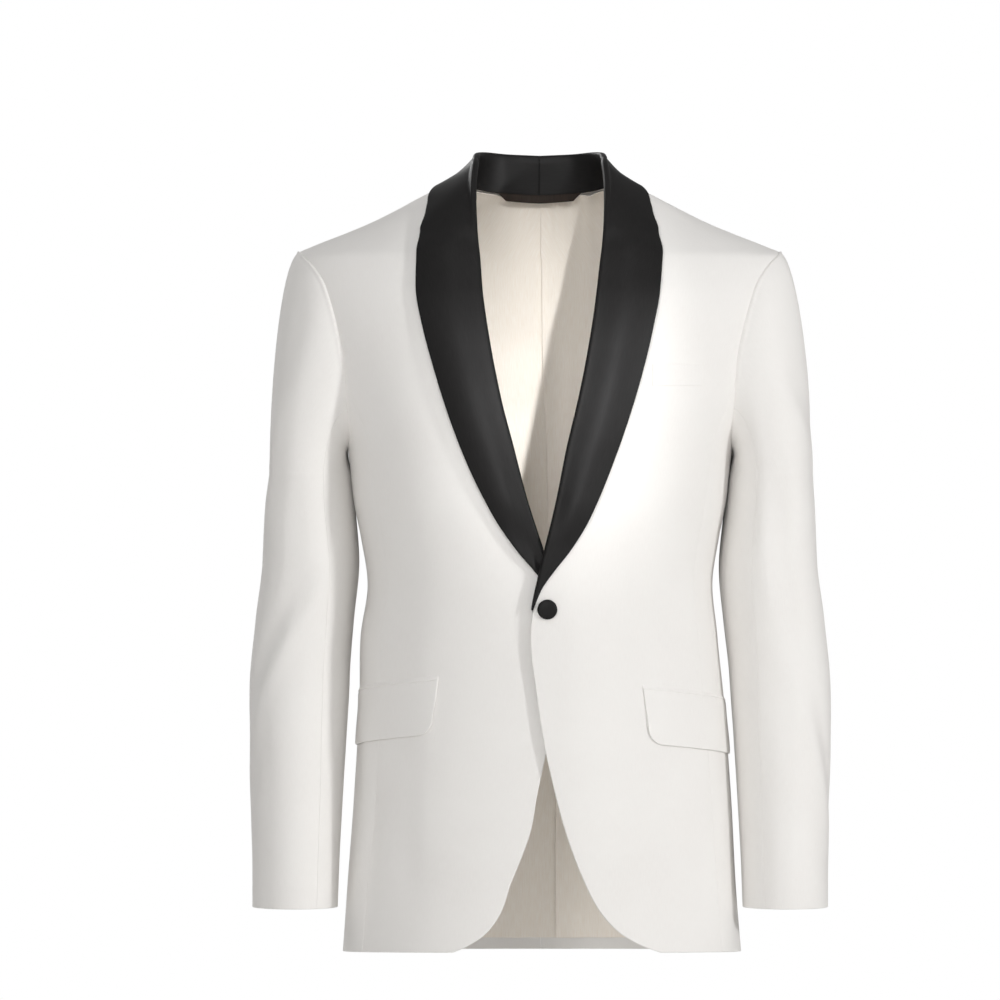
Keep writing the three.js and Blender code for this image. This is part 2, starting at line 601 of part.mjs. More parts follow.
// A section of the collar round the neck, at a place along the table of neck stations.
function neckSection(side, at) {
  const crestAt = (s) => vector(side * neck.x(s), neck.y(s), neck.z(s));
  const footAt = (s) => {
    const place = neckSeam(side, neck.seam(Math.max(0, s)));
    return bodyPoint(side, place.turn, place.z);
  };
  const foot = footAt(at);
  const normal = neckNormal(side, neck.seam(at));
  const path = footAt(at + 0.2).sub(footAt(at - 0.2));
  const away = normal.clone().cross(path).multiplyScalar(side).normalize();
  const angle = neck.fold(at) * RAD;
  const top = away.clone().multiplyScalar(-Math.cos(angle)).addScaledVector(normal, Math.sin(angle)).normalize();
  const out = normal.clone().multiplyScalar(Math.cos(angle)).addScaledVector(away, Math.sin(angle)).normalize();
  const core = crestAt(at).addScaledVector(top, -FOLD_RADIUS);
  const sunk = mix(LAYER_GAP, -SUITING - FOLD_GAP - SATIN, ease(5.8, 7, at));
  const inner = foot.addScaledVector(away, -SATIN - LAYER_GAP).addScaledVector(normal, sunk);
  const rest = LAYER_GAP + SATIN + LAPEL_EDGE_RISE * mix(0.5, 1, ease(4, 7, at));
  const hem = coatPoint(side, neck.edgeTurn(at), neck.edgeZ(at), rest);
  const start = core.clone().addScaledVector(out, FOLD_RADIUS);
  const fall = FALL_STEPS.map((t) =>
    between(start, hem, t).addScaledVector(out, NECK_BOW * Math.sin(Math.PI * t))
  );
  return foldSection(inner, core, top, out, fall);
}

// A section of the lapel, at a place along the table of lapel stations. Near its lower tip it lies flat,
// so that the other front can close over it.
function lapelSection(side, at) {
  const z = lapel.crestZ(at);
  const edgeZ = lapel.edgeZ(at);
  const flat = 1 - ease(6.4, 8.2, at);
  const crestX = edge.line(z) - side * edge.reach(z);
  const inside = (distance, depth) => {
    const x = crestX + side * distance;
    return coatPoint(side, turnAt(side, x, z), z, depth);
  };
  const core = inside(FOLD_RADIUS, -SUITING / 2);
  const top = inside(0, -SUITING / 2).sub(core).normalize();
  const out = inside(FOLD_RADIUS, FOLD_RADIUS - SUITING / 2).sub(core).normalize();
  const reach = mix(5, FACING_RETURN, ease(0, 1, at));
  const inner = inside(reach, -SUITING - FOLD_GAP - SATIN);
  const edgeX = edge.line(edgeZ) + side * lapel.edge(at);
  const fall = FALL_STEPS.map((t) => {
    const place = { x: mix(crestX + side * FOLD_RADIUS, edgeX, t), z: mix(z, edgeZ, t) };
    const rise = LAPEL_EDGE_RISE * ease(0, 0.5, t) + LAPEL_BOW * Math.sin(Math.PI * t);
    const depth = FOLD_GAP + SATIN + rise * flat;
    return coatPoint(side, turnAt(side, place.x, place.z), place.z, depth);
  });
  return foldSection(inner, core, top, out, fall);
}

function collar(side, name) {
  const neckPlaces = [0, 0.5, 1, 1.5, 2, 2.5, 3, 3.5, 4, 4.5, 5, 5.5, 6, 6.5, 7];
  const lapelPlaces = [0, 0.5, 1, 1.5, 2, 3, 4, 5, 6, 6.7, 7.3, 8, 8.6, 9.2, 10, 11];
  const rows = [
    ...neckPlaces.map((at) => neckSection(side, at)),
    ...lapelPlaces.map((at) => lapelSection(side, at)),
  ];
  for (const p of rows[0]) p.x = (side * SEAM_GAP) / 2;
  const inner = offset(rows, side * SATIN);
  for (const p of inner[0]) p.x = (side * SEAM_GAP) / 2;
  return wall(name, rows, inner, blackSatin);
}

// The turn reached by walking a distance round the body from a starting turn, at one height.
function walk(side, turn, z, distance) {
  let left = distance;
  let at = turn;
  while (left > 0) {
    const step = Math.min(0.25, left / 2);
    const length = bodyPoint(side, at + step, z).distanceTo(bodyPoint(side, at, z));
    if (length > left) return at + (step * left) / length;
    left -= length;
    at += step;
  }
  return at;
}

// Places along a pocket from its front corner round to the side, with the fall of the pocket mouth.
function pocketPlaces(flap) {
  const count = 12;
  const middle = flap.top - FLAP_HEIGHT / 2;
  const start = turnAt(flap.side, flap.side * flap.start, middle);
  const near = [0, 3, 8, FLAP_CORNER];
  const far = near.map((d) => FLAP_LENGTH - d).reverse();
  const run = steps(count - 4).slice(1, -1).map((t) => mix(FLAP_CORNER, FLAP_LENGTH - FLAP_CORNER, t));
  return [...near, ...run, ...far].map((distance) => ({
    distance,
    turn: walk(flap.side, start, middle, distance),
    top: flap.top - FLAP_SLOPE * distance,
  }));
}

function pocketFlap(flap) {
  const places = pocketPlaces(flap);
  const rows = steps(4).map((down) =>
    places.map(({ distance, turn, top }) => {
      const toEnd = Math.min(distance, FLAP_LENGTH - distance);
      const corner = FLAP_CORNER - Math.min(toEnd, FLAP_CORNER);
      const cut = FLAP_CORNER - Math.sqrt(FLAP_CORNER ** 2 - corner ** 2);
      const z = mix(top, top - FLAP_HEIGHT + cut, down);
      return { turn, z, out: LAYER_GAP + FLAP + 0.6 * down };
    })
  );
  return bodyWall("pocket_flap_" + flap.name, flap.side, rows, FLAP, ivory);
}

function pocketJet(flap) {
  const places = pocketPlaces(flap);
  const rows = [JET_GAP + JET_HEIGHT, JET_GAP].map((above) =>
    places.map(({ turn, top }) => ({ turn, z: top + above, out: LAYER_GAP + TRIM }))
  );
  return bodyWall("pocket_jet_" + flap.name, flap.side, rows, TRIM, ivory);
}

function breastWelt() {
  const rows = steps(2).map((up) =>
    steps(6).map((t) => {
      const x = mix(WELT_FROM, WELT_TO, t);
      const z = WELT_BOTTOM + WELT_HEIGHT * up + WELT_SLOPE * (x - WELT_FROM);
      return { turn: turnAt(1, x, z), z, out: LAYER_GAP + TRIM };
    })
  );
  return bodyWall("breast_welt", 1, rows, TRIM, ivory);
}

// The covered button: rings from the middle of its back to the middle of its domed front.
function button() {
  const profile = [
    { radius: 0.62, height: 0 },
    { radius: 0.94, height: 0.18 },
    { radius: 1, height: 0.42 },
    { radius: 0.93, height: 0.68 },
    { radius: 0.74, height: 0.87 },
    { radius: 0.4, height: 0.98 },
  ];
  const count = 20;
  const turn = turnAt(1, BUTTON_X, BUTTON_Z);
  const centre = coatPoint(1, turn, BUTTON_Z, LAYER_GAP);
  const out = bodyNormal(1, turn, BUTTON_Z);
  const right = vector(0, 0, 1).cross(out).negate().normalize();
  const up = out.clone().cross(right).normalize();
  const place = (radius, height, angle) =>
    centre
      .clone()
      .addScaledVector(right, radius * Math.cos(angle))
      .addScaledVector(up, radius * Math.sin(angle))
      .addScaledVector(out, height);
  const rings = profile.flatMap(({ radius, height }) =>
    steps(count).slice(1).map((t) => place(BUTTON_RADIUS * radius, BUTTON_HEIGHT * height, 2 * Math.PI * t))
  );
  const points = [...rings, place(0, 0, 0), place(0, BUTTON_HEIGHT, 0)];
  const faces = [];
  const last = (profile.length - 1) * count;
  for (let j = 0; j < count; j++) {
    const k = (j + 1) % count;
    faces.push(rings.length, k, j, rings.length + 1, last + j, last + k);
    for (let i = 0; i < last; i += count) faces.push(i + j, i + k, i + count + k, i + j, i + count + k, i + count + j);
  }
  return solid("front_button", points.flatMap((p) => [p.x, p.y, p.z]), faces, blackSatin);
}

// One half of the back lining. The wearer's left half laps the right one at the centre as a pleat.
function backLining(side, name) {
  const under = -SUITING - LINING_GAP;
  const heights = [LINING_HEM, ...SEAM_ROWS, -245, -215, ...BACK_ROWS];
  const overlap = (z) => (PLEAT_OVERLAP * (1 - ease(-70, -20, z))) / (body.width(z) * RAD) - seamTurn(z);
  const rows = heights.map((z) => {
    const last = side > 0 ? 180 + overlap(z) : 180 - seamTurn(z);
    const turns = [...steps(6).map((t) => mix(LINING_SIDE, 174, t)), 177.5, last];
    return turns.map((turn) => {
      const rise = side > 0 ? PLEAT_RISE * ease(172, 178.5, turn) : 0;
      return { turn, z, out: under - rise };
    });
  });
  return bodyWall(name, side, rows, LINING, creamSatin);
}

// The hanger tape, in front of the foot of the collar stand and hanging from it.
function hangerLoop() {
  const places = steps(12).map((t) => mix(-1, 1, t));
  const row = (drop, narrower, depth) =>
    places.map((t) => {
      const side = t < 0 ? -1 : 1;
      const at = (Math.abs(t) * HANGER_HALF) / 32;
      const standFoot = neckSection(side, Math.min(at, 2))[0];
      const x = t * (HANGER_HALF - narrower);
      return vector(x, standFoot.y + LAYER_GAP - depth, standFoot.z - LAYER_GAP - drop);
    });
  const face = (depth) => [row(0, 0, depth), row(HANGER_DROP, HANGER_NARROWER, depth)];
  return wall("hanger_loop", face(LAYER_GAP + TRIM), face(LAYER_GAP), blackSatin);
}

const jacket = new THREE.Group();
jacket.name = "tuxedo_jacket";
for (const [side, hand] of [[1, "left"], [-1, "right"]]) {
  jacket.add(front(side, "front_" + hand), sidePanel(side, "side_panel_" + hand), back(side, "back_" + hand));
  jacket.add(sleeve(side, "top_sleeve_" + hand, SLEEVE_BACK_SEAM, SLEEVE_FRONT_SEAM, 13));
  jacket.add(sleeve(side, "under_sleeve_" + hand, SLEEVE_FRONT_SEAM, SLEEVE_BACK_SEAM + 360, 8));
  jacket.add(collar(side, "shawl_collar_" + hand), backLining(side, "back_lining_" + hand));
}
for (const flap of flaps) jacket.add(pocketFlap(flap), pocketJet(flap));
jacket.add(breastWelt(), button(), hangerLoop());

export default jacket;
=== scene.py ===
# A white dinner jacket with a black satin shawl collar, filled out as if worn, with nobody in it.
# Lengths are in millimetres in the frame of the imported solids, where +Z is up, the front faces -Y and
# the wearer's left is +X, and become metres as a mesh is made. side is 1 on the wearer's left, else -1.
import math

import bpy
import numpy as np
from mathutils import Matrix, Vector


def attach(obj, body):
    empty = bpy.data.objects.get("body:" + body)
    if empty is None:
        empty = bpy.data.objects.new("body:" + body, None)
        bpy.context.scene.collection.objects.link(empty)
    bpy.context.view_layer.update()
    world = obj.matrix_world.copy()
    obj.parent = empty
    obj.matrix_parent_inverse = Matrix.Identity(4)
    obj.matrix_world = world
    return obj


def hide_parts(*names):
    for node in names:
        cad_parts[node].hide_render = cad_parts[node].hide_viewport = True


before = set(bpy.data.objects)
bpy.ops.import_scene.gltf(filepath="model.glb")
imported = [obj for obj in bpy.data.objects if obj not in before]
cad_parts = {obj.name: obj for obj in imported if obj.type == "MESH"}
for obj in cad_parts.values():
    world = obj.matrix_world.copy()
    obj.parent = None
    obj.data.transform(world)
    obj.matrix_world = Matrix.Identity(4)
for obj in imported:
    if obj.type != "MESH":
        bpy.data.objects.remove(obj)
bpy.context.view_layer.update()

# The two fronts are cut from ivory wool suiting, shaped over canvas so that the chest stands full and
# round. The wearer's left one laps over the right at the button, and both are cut away in a curve to
# the hem. Their edges are turned in and pressed, so each edge is round and slightly sunk at a seam.
MM = 0.001
RAD = math.pi / 180
SUITING = 1.8
HEM, HEM_TILT, HEM_TILT_FADES_AT = -751, 7, -600
NECK_POINT, NECK_BACK, NECK_FRONT, NECK_CURVE = 25, 10, -50, 1.4
SHOULDER_POINT, ARMHOLE_BOTTOM, LAPEL_END = -52, -250, -412
MIDLINE = 8
RIDGE_NEAR, RIDGE_FAR, RIDGE_STARTS_BELOW = 1.5, 8, 8
FOLD_RADIUS, TIP_ROLL, TIP_LENGTH = 3.7, 0.3, 20
ROLL_GAP, ROLL_FADES_OVER, ROLL_STOPS = 0.3, 14, (-28, -8)
FRONT_SEAM, BACK_SEAM = 60, 120
ARMHOLE_FRONT, ARMHOLE_REAR, ARMHOLE_ROUND = 72, 67, 0.85
LIFT_FULL_TO, LIFT_ENDS_AT = 18, 84
SEAM_HALF_GAP = 0.03
SEAM_DIP, SEAM_DIP_REACH = 0.22, 3
SEAM_ROUND, EDGE_ROUND = 0.25, 0.46
STEP = 0.5
HANDS = ((1, "left"), (-1, "right"))


def curve(places, values):
    """A smooth curve through points: cubic pieces whose slope at each point is the harmonic mean of the
    rises on its two sides, or 0 where these differ in sign, so that nothing overshoots."""
    order = np.argsort(places)
    x, y = np.asarray(places, float)[order], np.asarray(values, float)[order]
    rise = np.diff(y) / np.diff(x)
    before, after = rise[:-1], rise[1:]
    same_way = before * after > 0
    mean = 2 * before * after / np.where(same_way, before + after, 1)
    slope = np.concatenate([rise[:1], np.where(same_way, mean, 0), rise[-1:]])

    def at(place):
        """The curve's value at a place: the cubic between the points on its two sides."""
        p = np.clip(place, x[0], x[-1])
        i = np.clip(np.searchsorted(x, p, side="right") - 1, 0, len(x) - 2)
        span = x[i + 1] - x[i]
        t = (p - x[i]) / span
        left = y[i] * (1 + 2 * t) + slope[i] * span * t
        right = y[i + 1] * (3 - 2 * t) - slope[i + 1] * span * (1 - t)
        return left * (1 - t) ** 2 + right * t ** 2

    return at


def table(names, *rows):
    """Each named column of a table as a curve over the first column."""
    first, *others = zip(*rows)
    return {name: curve(first, values) for name, values in zip(names.split()[1:], others)}


# Level sections of the body: half width, depth before and behind the side line, sideways shift, and
# the exponent of the rounded outline.
body = table(
    "z width front back shift square",
    (-760, 202, 147, 137, 2, 2.25),
    (-690, 196.5, 143, 132, 1.5, 2.25),
    (-600, 189.5, 139, 124, 2.5, 2.25),
    (-510, 183, 136, 114, 2, 2.25),
    (-435, 178.5, 135.5, 106, -1, 2.25),
    (-385, 172.5, 137, 104, 0, 2.25),
    (-340, 178.5, 139, 108, 0, 2.25),
    (-300, 186, 141, 114, 0, 2.3),
    (-250, 192, 141, 120, 0, 2.3),
    (-200, 214, 138, 124, 0, 2.15),
    (-150, 236, 130, 124, 0, 2),
    (-100, 254, 115, 119, 0, 2),
    (-75, 257, 101, 115, 0, 2),
    (-58, 251, 90, 111.5, 0, 2),
    (-46, 226, 80, 108, -1, 2),
    (-34, 195.5, 69, 104, -1, 2),
    (-22, 167, 58, 99, -1, 2),
    (-10, 143, 46, 93, -1, 2),
    (2, 120.5, 34, 84, -1.5, 2),
    (10, 105, 25, 72, -1.5, 2),
    (17, 90, 16, 49, -1, 2),
    (25, 72, 6, 8, 0, 2),
)

# The closing line down the front, how far each front reaches past it towards the other, and how much
# further the wearer's right one is cut away.
edge = table(
    "z line reach right_less",
    (-752, 9, -112, -14),
    (-744, 9, -90, -10),
    (-730, 9, -67, -6),
    (-708, 9, -48, -1),
    (-675, 9, -32, 4.5),
    (-630, 9, -16, 4),
    (-585, 9, -4, 7.5),
    (-540, 8.2, 5, 6),
    (-490, 7.7, 12, 2),
    (-440, 7, 17, 0),
    (-412, 6.3, 16, 0),
    (-375, 4, 7, 0),
    (-349, 3, 0, 0),
    (-300, 1, -13.8, 0),
    (-250, -0.5, -25.4, 0),
    (-200, -1, -37.8, 0),
    (-150, -1, -47.7, 0),
    (-100, -1, -55.3, 0),
    (-50, 0, -60.5, 0),
    (-30, 0, -64, 0),
    (-10, 0, -68, 0),
    (10, 0, -71, 0),
    (25, 0, -72, 0),
)

# How far the wearer's left front is lifted where it closes over the right one.
lift = curve((-752, -670, -600, -480, -432, -412, -340, -300, -230),
             (0.6, 3, 7.2, 7.6, 7.8, 7.8, 7.8, 4.5, 0))

# Soft folds of the body: on which side (0 for both), where round it (0 front, 180 back) and up it,
# how wide and long, how it leans, and how far it stands out (or in, below 0).
body_folds = [
    (0, 66, -700, 9, 150, 0.02, 2.4),
    (0, 90, -730, 9, 110, 0, -2.4),
    (0, 122, -700, 9, 170, -0.02, 3.6),
    (0, 142, -720, 8, 150, 0.01, -2.8),
    (0, 140, -180, 8, 90, 0.04, -3),
    (0, 153, -150, 7, 70, 0.05, 1.8),
    (1, 148, -392, 14, 11, 0.3, -2.6),
    (1, 150, -418, 15, 10, 0.25, 1.8),
    (-1, 142, -404, 15, 10, -0.3, -2.4),
    (-1, 156, -380, 13, 9, 0.2, 1.7),
    (-1, 165, -640, 6, 120, 0.015, -1.8),
    (1, 168, -520, 6, 90, -0.02, 1.5),
    (1, 134, -560, 7, 80, 0.03, -1.8),
    (0, 38, -330, 10, 100, 0.03, 1.5),
    (-1, 59, -645, 4, 100, 0.01, -1.4),
    (-1, 50, -655, 4.5, 80, 0.02, 0.9),
    (-1, 40, -662, 5, 46, 0.06, -1),
    (-1, 31, -560, 3, 90, 0, -0.5),
    (1, 37, -520, 5, 50, -0.03, 0.8),
    (1, 47, -660, 6, 100, -0.02, -0.9),
    (-1, 33, -560, 7, 90, 0.02, 0.9),
    (-1, 76, -590, 6, 70, 0.03, -1.2),
    (1, 72, -560, 7, 90, 0.02, -1),
    (0, 104, -520, 8, 90, -0.03, -1.4),
    (-1, 158, -560, 7, 120, 0.01, 1.3),
    (1, 163, -620, 7, 130, -0.015, 1.9),
    (0, 128, -350, 12, 26, 0.12, 1.2),
    (0, 92, -290, 7, 44, 0, 0.8),
    (0, 166, -90, 7, 55, 0.02, -1.1),
]


def power(value, exponent):
    """The size of a value raised to an exponent, with the value's sign kept."""
    return np.sign(value) * np.abs(value) ** exponent


def ease(start, end, value):
    """0 below start, 1 above end, and between them t squared times (3 - 2t)."""
    t = np.clip((value - start) / (end - start), 0, 1)
    return t * t * (3 - 2 * t)


def fold_depth(folds, side, turn, z):
    """The sum of the folds' bells: depth times e to the minus of (across / width) squared and of
    (distance along / length) squared, where a lean moves a bell's middle as it runs."""
    total = 0 * (turn + z)
    for on_side, fold_turn, fold_z, wide, long, lean, depth in folds:
        if on_side in (0, side):
            away = z - fold_z
            across = (turn - fold_turn - lean * away) / wide
            total = total + depth * np.exp(-across ** 2 - (away / long) ** 2)
    return total


def join(x, y, z):
    """Three arrays of coordinates as one array of points."""
    return np.stack(np.broadcast_arrays(x, y, z), axis=-1)


def unit(v):
    """Each vector divided by its length."""
    return v / np.linalg.norm(v, axis=-1, keepdims=True)


def body_point(side, turn, z):
    """The body's outer face: in each level section x goes with the sine and y with the cosine of the
    turn, each raised to 2 / square, times the section's half width or depth with the folds added."""
    tilt = HEM_TILT * np.cos(turn * RAD) * (1 - ease(HEM, HEM_TILT_FADES_AT, z))
    exponent = 2 / body["square"](z)
    s, c = power(np.sin(turn * RAD), exponent), power(np.cos(turn * RAD), exponent)
    fold = fold_depth(body_folds, side, turn, z)
    depth = np.where(c > 0, body["front"](z), body["back"](z)) + fold
    return join(body["shift"](z) + side * (body["width"](z) + fold) * s, MIDLINE - depth * c, z + tilt)


def body_normal(side, turn, z):
    """The outward direction of the body's outer face: the cross product of its steps round and up.
    Close to the shoulder ridge it turns towards the ridge's own, so that both sides share one."""
    near = 1 - ease(RIDGE_NEAR, RIDGE_FAR, np.abs(turn - 90))
    turn = turn + (90 - turn) * (near * ease(SHOULDER_POINT - RIDGE_STARTS_BELOW, SHOULDER_POINT, z))
    around = body_point(side, turn + STEP, z) - body_point(side, turn - STEP, z)
    up = body_point(side, turn, z + STEP) - body_point(side, turn, z - STEP)
    return unit(side * np.cross(around, up))


def coat_point(side, turn, z, out=0):
    """A point at a distance out from the body. The left front is lifted where it laps the right one."""
    p = body_point(side, turn, z)
    near = 1 - ease(LIFT_FULL_TO, LIFT_ENDS_AT, p[..., 0] - edge["line"](z))
    raised = np.where((side > 0) & (turn < 90), lift(z) * near, 0)
    return p + body_normal(side, turn, z) * np.asarray(raised + out)[..., None]


def turn_at(side, x, z):
    """The turn at which the front half of the body reaches the sideways place x."""
    across = side * (x - body["shift"](z)) / body["width"](z)
    return np.arcsin(np.clip(power(across, body["square"](z) / 2), -1, 1)) / RAD


def turn_at_depth(y, z):
    """The turn at which the body reaches the depth y."""
    depth = np.where(y < MIDLINE, body["front"](z), body["back"](z))
    return np.arccos(np.clip(power((MIDLINE - y) / depth, body["square"](z) / 2), -1, 1)) / RAD


def armhole(around):
    """The armhole seam: an egg in side view, 0 at the shoulder point, 90 in front, 180 at the underarm."""
    s = power(np.sin(around * RAD), ARMHOLE_ROUND)
    c = power(np.cos(around * RAD), ARMHOLE_ROUND)
    y = MIDLINE - s * np.where(s > 0, ARMHOLE_FRONT, ARMHOLE_REAR)
    z = (SHOULDER_POINT + ARMHOLE_BOTTOM) / 2 + (SHOULDER_POINT - ARMHOLE_BOTTOM) / 2 * c
    return turn_at_depth(y, z), z


def armhole_at(turn, low, high):
    """The place round the armhole with a given turn, found by halving forty times."""
    low, high = low + 0 * turn, high + 0 * turn
    for _ in range(40):
        middle = (low + high) / 2
        past = armhole(middle)[0] > turn
        low, high = np.where(past, low, middle), np.where(past, middle, high)
    return (low + high) / 2


FRONT_SEAM_TOP = armhole_at(FRONT_SEAM, 100, 180)
BACK_SEAM_TOP = armhole_at(BACK_SEAM, 180, 262)


def roll_width(z):
    """How wide the lapel's roll is in front of the cloth it folds round: it narrows to the lapel's tip."""
    return FOLD_RADIUS * (TIP_ROLL + (1 - TIP_ROLL) * ease(LAPEL_END, LAPEL_END + TIP_LENGTH, z))


def front_inner(side, z):
    """The turn of a front's inner edge: the cutaway, the closing edge, the lapel's roll and the neck."""
    tucked = ease(LAPEL_END - ROLL_FADES_OVER, LAPEL_END, z) * (1 - ease(*ROLL_STOPS, z))
    less = edge["right_less"](z) if side < 0 else 0
    reach = edge["reach"](z) - (roll_width(z) + ROLL_GAP) * tucked - less
    return np.where(z >= NECK_POINT, 90, turn_at(side, edge["line"](z) - side * reach, z))


# Distances from an edge of cloth at which a grid has its lines, before they go on evenly, and the share
# of its length that they may take up.
NEAR, NEAR_ROOM = np.array([0, 0.15, 0.4, 0.8, 1.5, 3, 5.5]), 0.3


def shares(lengths, count, start=True, end=True):
    """Shares from 0 to 1 along lines of the given lengths: the distances in NEAR at an end that is an
    edge, as far as the shortest line has room, and count even places between them."""
    lengths = np.atleast_1d(np.asarray(lengths, float))[:, None]
    near = NEAR[NEAR < NEAR_ROOM * lengths.min()][None]
    low, high = near / lengths, 1 - near[:, ::-1] / lengths
    first = low if start else 0 * lengths
    last = high if end else 1 + 0 * lengths
    t = np.linspace(0, 1, count + 2)[1:-1]
    middle = first[:, -1:] + (last[:, :1] - first[:, -1:]) * t
    return np.concatenate([first, middle, last], axis=1)


def along(side, turn, z, share):
    """Places along a path on the body, at shares of its length."""
    run = np.cumsum(np.linalg.norm(np.diff(body_point(side, turn, z), axis=0), axis=1))
    run = np.concatenate([[0], run]) / run[-1]
    return np.interp(share, run, turn), np.interp(share, run, z)


def path(side, *stretches):
    """One path on the body from stretches laid end to end, each with its turns, heights and shares."""
    return [np.concatenate(parts) for parts in zip(*(along(side, *stretch) for stretch in stretches))]


def spread(side, first, last, count):
    """A grid of places: each row runs straight in turn and height from a place of the first path to
    the matching one of the last, with its lines close together at both ends."""
    width = np.linalg.norm(body_point(side, *last) - body_point(side, *first), axis=1)
    t = shares(width, count)
    return tuple(a[:, None] + (b - a)[:, None] * t for a, b in zip(first, last))


def from_first_column(grid):
    """How far each point lies from the line of its grid's first column, measured square to it."""
    line = unit(np.gradient(grid[:, 0], axis=0))[:, None]
    offset = grid - grid[:, :1]
    return np.linalg.norm(offset - (offset * line).sum(-1, keepdims=True) * line, axis=-1)


def edge_distances(grid):
    """Each point's distance from the grid's first and last column and first and last row."""
    flat = grid.transpose(1, 0, 2)
    return {
        "left": from_first_column(grid),
        "right": from_first_column(grid[:, ::-1])[:, ::-1],
        "bottom": from_first_column(flat).T,
        "top": from_first_column(flat[:, ::-1])[:, ::-1].T,
    }


def grid_normal(grid):
    """The direction square to a grid of points: the cross product of its steps across and along."""
    return unit(np.cross(np.gradient(grid, axis=1), np.gradient(grid, axis=0)))


def strip(first, second):
    """Four-cornered faces between two lines of vertex numbers."""
    return np.stack([first[:-1], first[1:], second[1:], second[:-1]], axis=1)


def mesh_object(name, points, faces, uv, material, smooth=None):
    """A mesh from points in millimetres, faces of four corners and a UV map in metres. It is smooth, or
    only its faces in smooth are."""
    mesh = bpy.data.meshes.new(name)
    mesh.vertices.add(len(points))
    mesh.vertices.foreach_set("co", (points * MM).astype(np.float32).ravel())
    corners = faces.astype(np.int32).ravel()
    mesh.loops.add(len(corners))
    mesh.loops.foreach_set("vertex_index", corners)
    mesh.polygons.add(len(faces))
    mesh.polygons.foreach_set("loop_start", np.arange(0, len(corners), 4, dtype=np.int32))
    mesh.polygons.foreach_set("use_smooth", np.ones(len(faces), bool) if smooth is None else smooth)
    layer = mesh.uv_layers.new(name="cloth")
    layer.data.foreach_set("uv", (uv * MM).astype(np.float32)[corners].ravel())
    mesh.materials.append(material)
    mesh.update()
    piece = bpy.data.objects.new(name, mesh)
    bpy.context.scene.collection.objects.link(piece)
    return piece


def shell(name, grid, normal, thickness, uv, material, seams=(), whole=(), dip=SEAM_DIP):
    """A closed wall of cloth: the outer face is the grid, and the inner one lies a thickness behind it.
    Close to an edge both faces run in along a quarter circle, which is nearly half a thickness wide at
    a free edge and tight at a seam, where the cloth also sinks by a bell-shaped dip. Where the cloth is
    whole across to the next piece, it runs on flat."""
    distance = {name: away for name, away in edge_distances(grid).items() if name not in whole}
    rounding = 0 * grid[..., 0]
    for edge_name, away in distance.items():
        radius = SEAM_ROUND if edge_name in seams else EDGE_ROUND * thickness
        turned = radius * (1 - np.sqrt(1 - np.clip(1 - away / radius, 0, 1) ** 2))
        rounding = np.maximum(rounding, turned)
    dip = sum(dip * np.exp(-(distance[s] / SEAM_DIP_REACH) ** 2) for s in seams) + 0 * rounding
    outer = grid - normal * (rounding + dip)[..., None]
    inner = grid - normal * (thickness - rounding + dip)[..., None]
    rows, columns = grid.shape[:2]
    number = np.arange(rows * columns).reshape(rows, columns)
    sheet = np.concatenate([strip(number[i], number[i + 1]) for i in range(rows - 1)])
    loop = np.concatenate([number[0], number[1:, -1], number[-1, -2::-1], number[-2::-1, 0]])
    rim = strip(loop, loop + rows * columns)[:, ::-1]
    faces = np.concatenate([sheet, sheet[:, ::-1] + rows * columns, rim])
    middle = sheet[len(sheet) // 2]
    a, b, c, _ = grid.reshape(-1, 3)[middle]
    if np.cross(b - a, c - b) @ normal.reshape(-1, 3)[middle[0]] < 0:
        faces = faces[:, ::-1]
    points = np.concatenate([outer.reshape(-1, 3), inner.reshape(-1, 3)])
    uv = np.asarray(uv, float).reshape(-1, 2)
    smooth = np.ones(len(faces), bool)
    if "bottom" in whole:
        smooth[2 * len(sheet):2 * len(sheet) + columns - 1] = False
    return mesh_object(name, points, faces, np.concatenate([uv, uv]), material, smooth)


def body_uv(turn, z, middle):
    """Cloth coordinates on the body: the distance round it from a middle turn, and the height."""
    reach = (body["width"](z) + np.where(turn < 90, body["front"](z), body["back"](z))) / 2
    return np.stack([(turn - middle) * RAD * reach, z + 0 * turn], axis=-1)


def body_panel(name, side, places, middle, seams, thickness=SUITING, out=0, material=None):
    """A wall of cloth that lies on the body at a grid of places (turn and height)."""
    turn, z = places
    grid, normal = coat_point(side, turn, z, out), body_normal(side, turn, z)
    return shell(name, grid, normal, thickness, body_uv(turn, z, middle), material or suiting, seams)


def linear(colour):
    """An sRGB hex colour as linear red, green, blue and alpha."""
    c = np.array([int(colour[i:i + 2], 16) for i in (1, 3, 5)]) / 255
    return (*np.where(c <= 0.04045, c / 12.92, ((c + 0.055) / 1.055) ** 2.4).tolist(), 1)


def add(tree, kind, settings=None, inputs=None):
    """Adds a node with its settings. An input takes a value, or a node and the name of its output."""
    made = tree.nodes.new(kind)
    for name, value in (settings or {}).items():
        setattr(made, name, value)
    for name, value in (inputs or {}).items():
        if isinstance(value, tuple) and isinstance(value[0], bpy.types.Node):
            tree.links.new(value[0].outputs[value[1]], made.inputs[name])
        else:
            made.inputs[name].default_value = value
    return made


def new_material(name):
    """An empty node material."""
    material = bpy.data.materials.new(name)
    material.use_nodes = True
    material.node_tree.nodes.clear()
    return material, material.node_tree


def dress(piece, node):
    """Ties a piece of cloth to the frame: it rides on the body and stands for its solid."""
    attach(piece, "root")
    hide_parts(node)


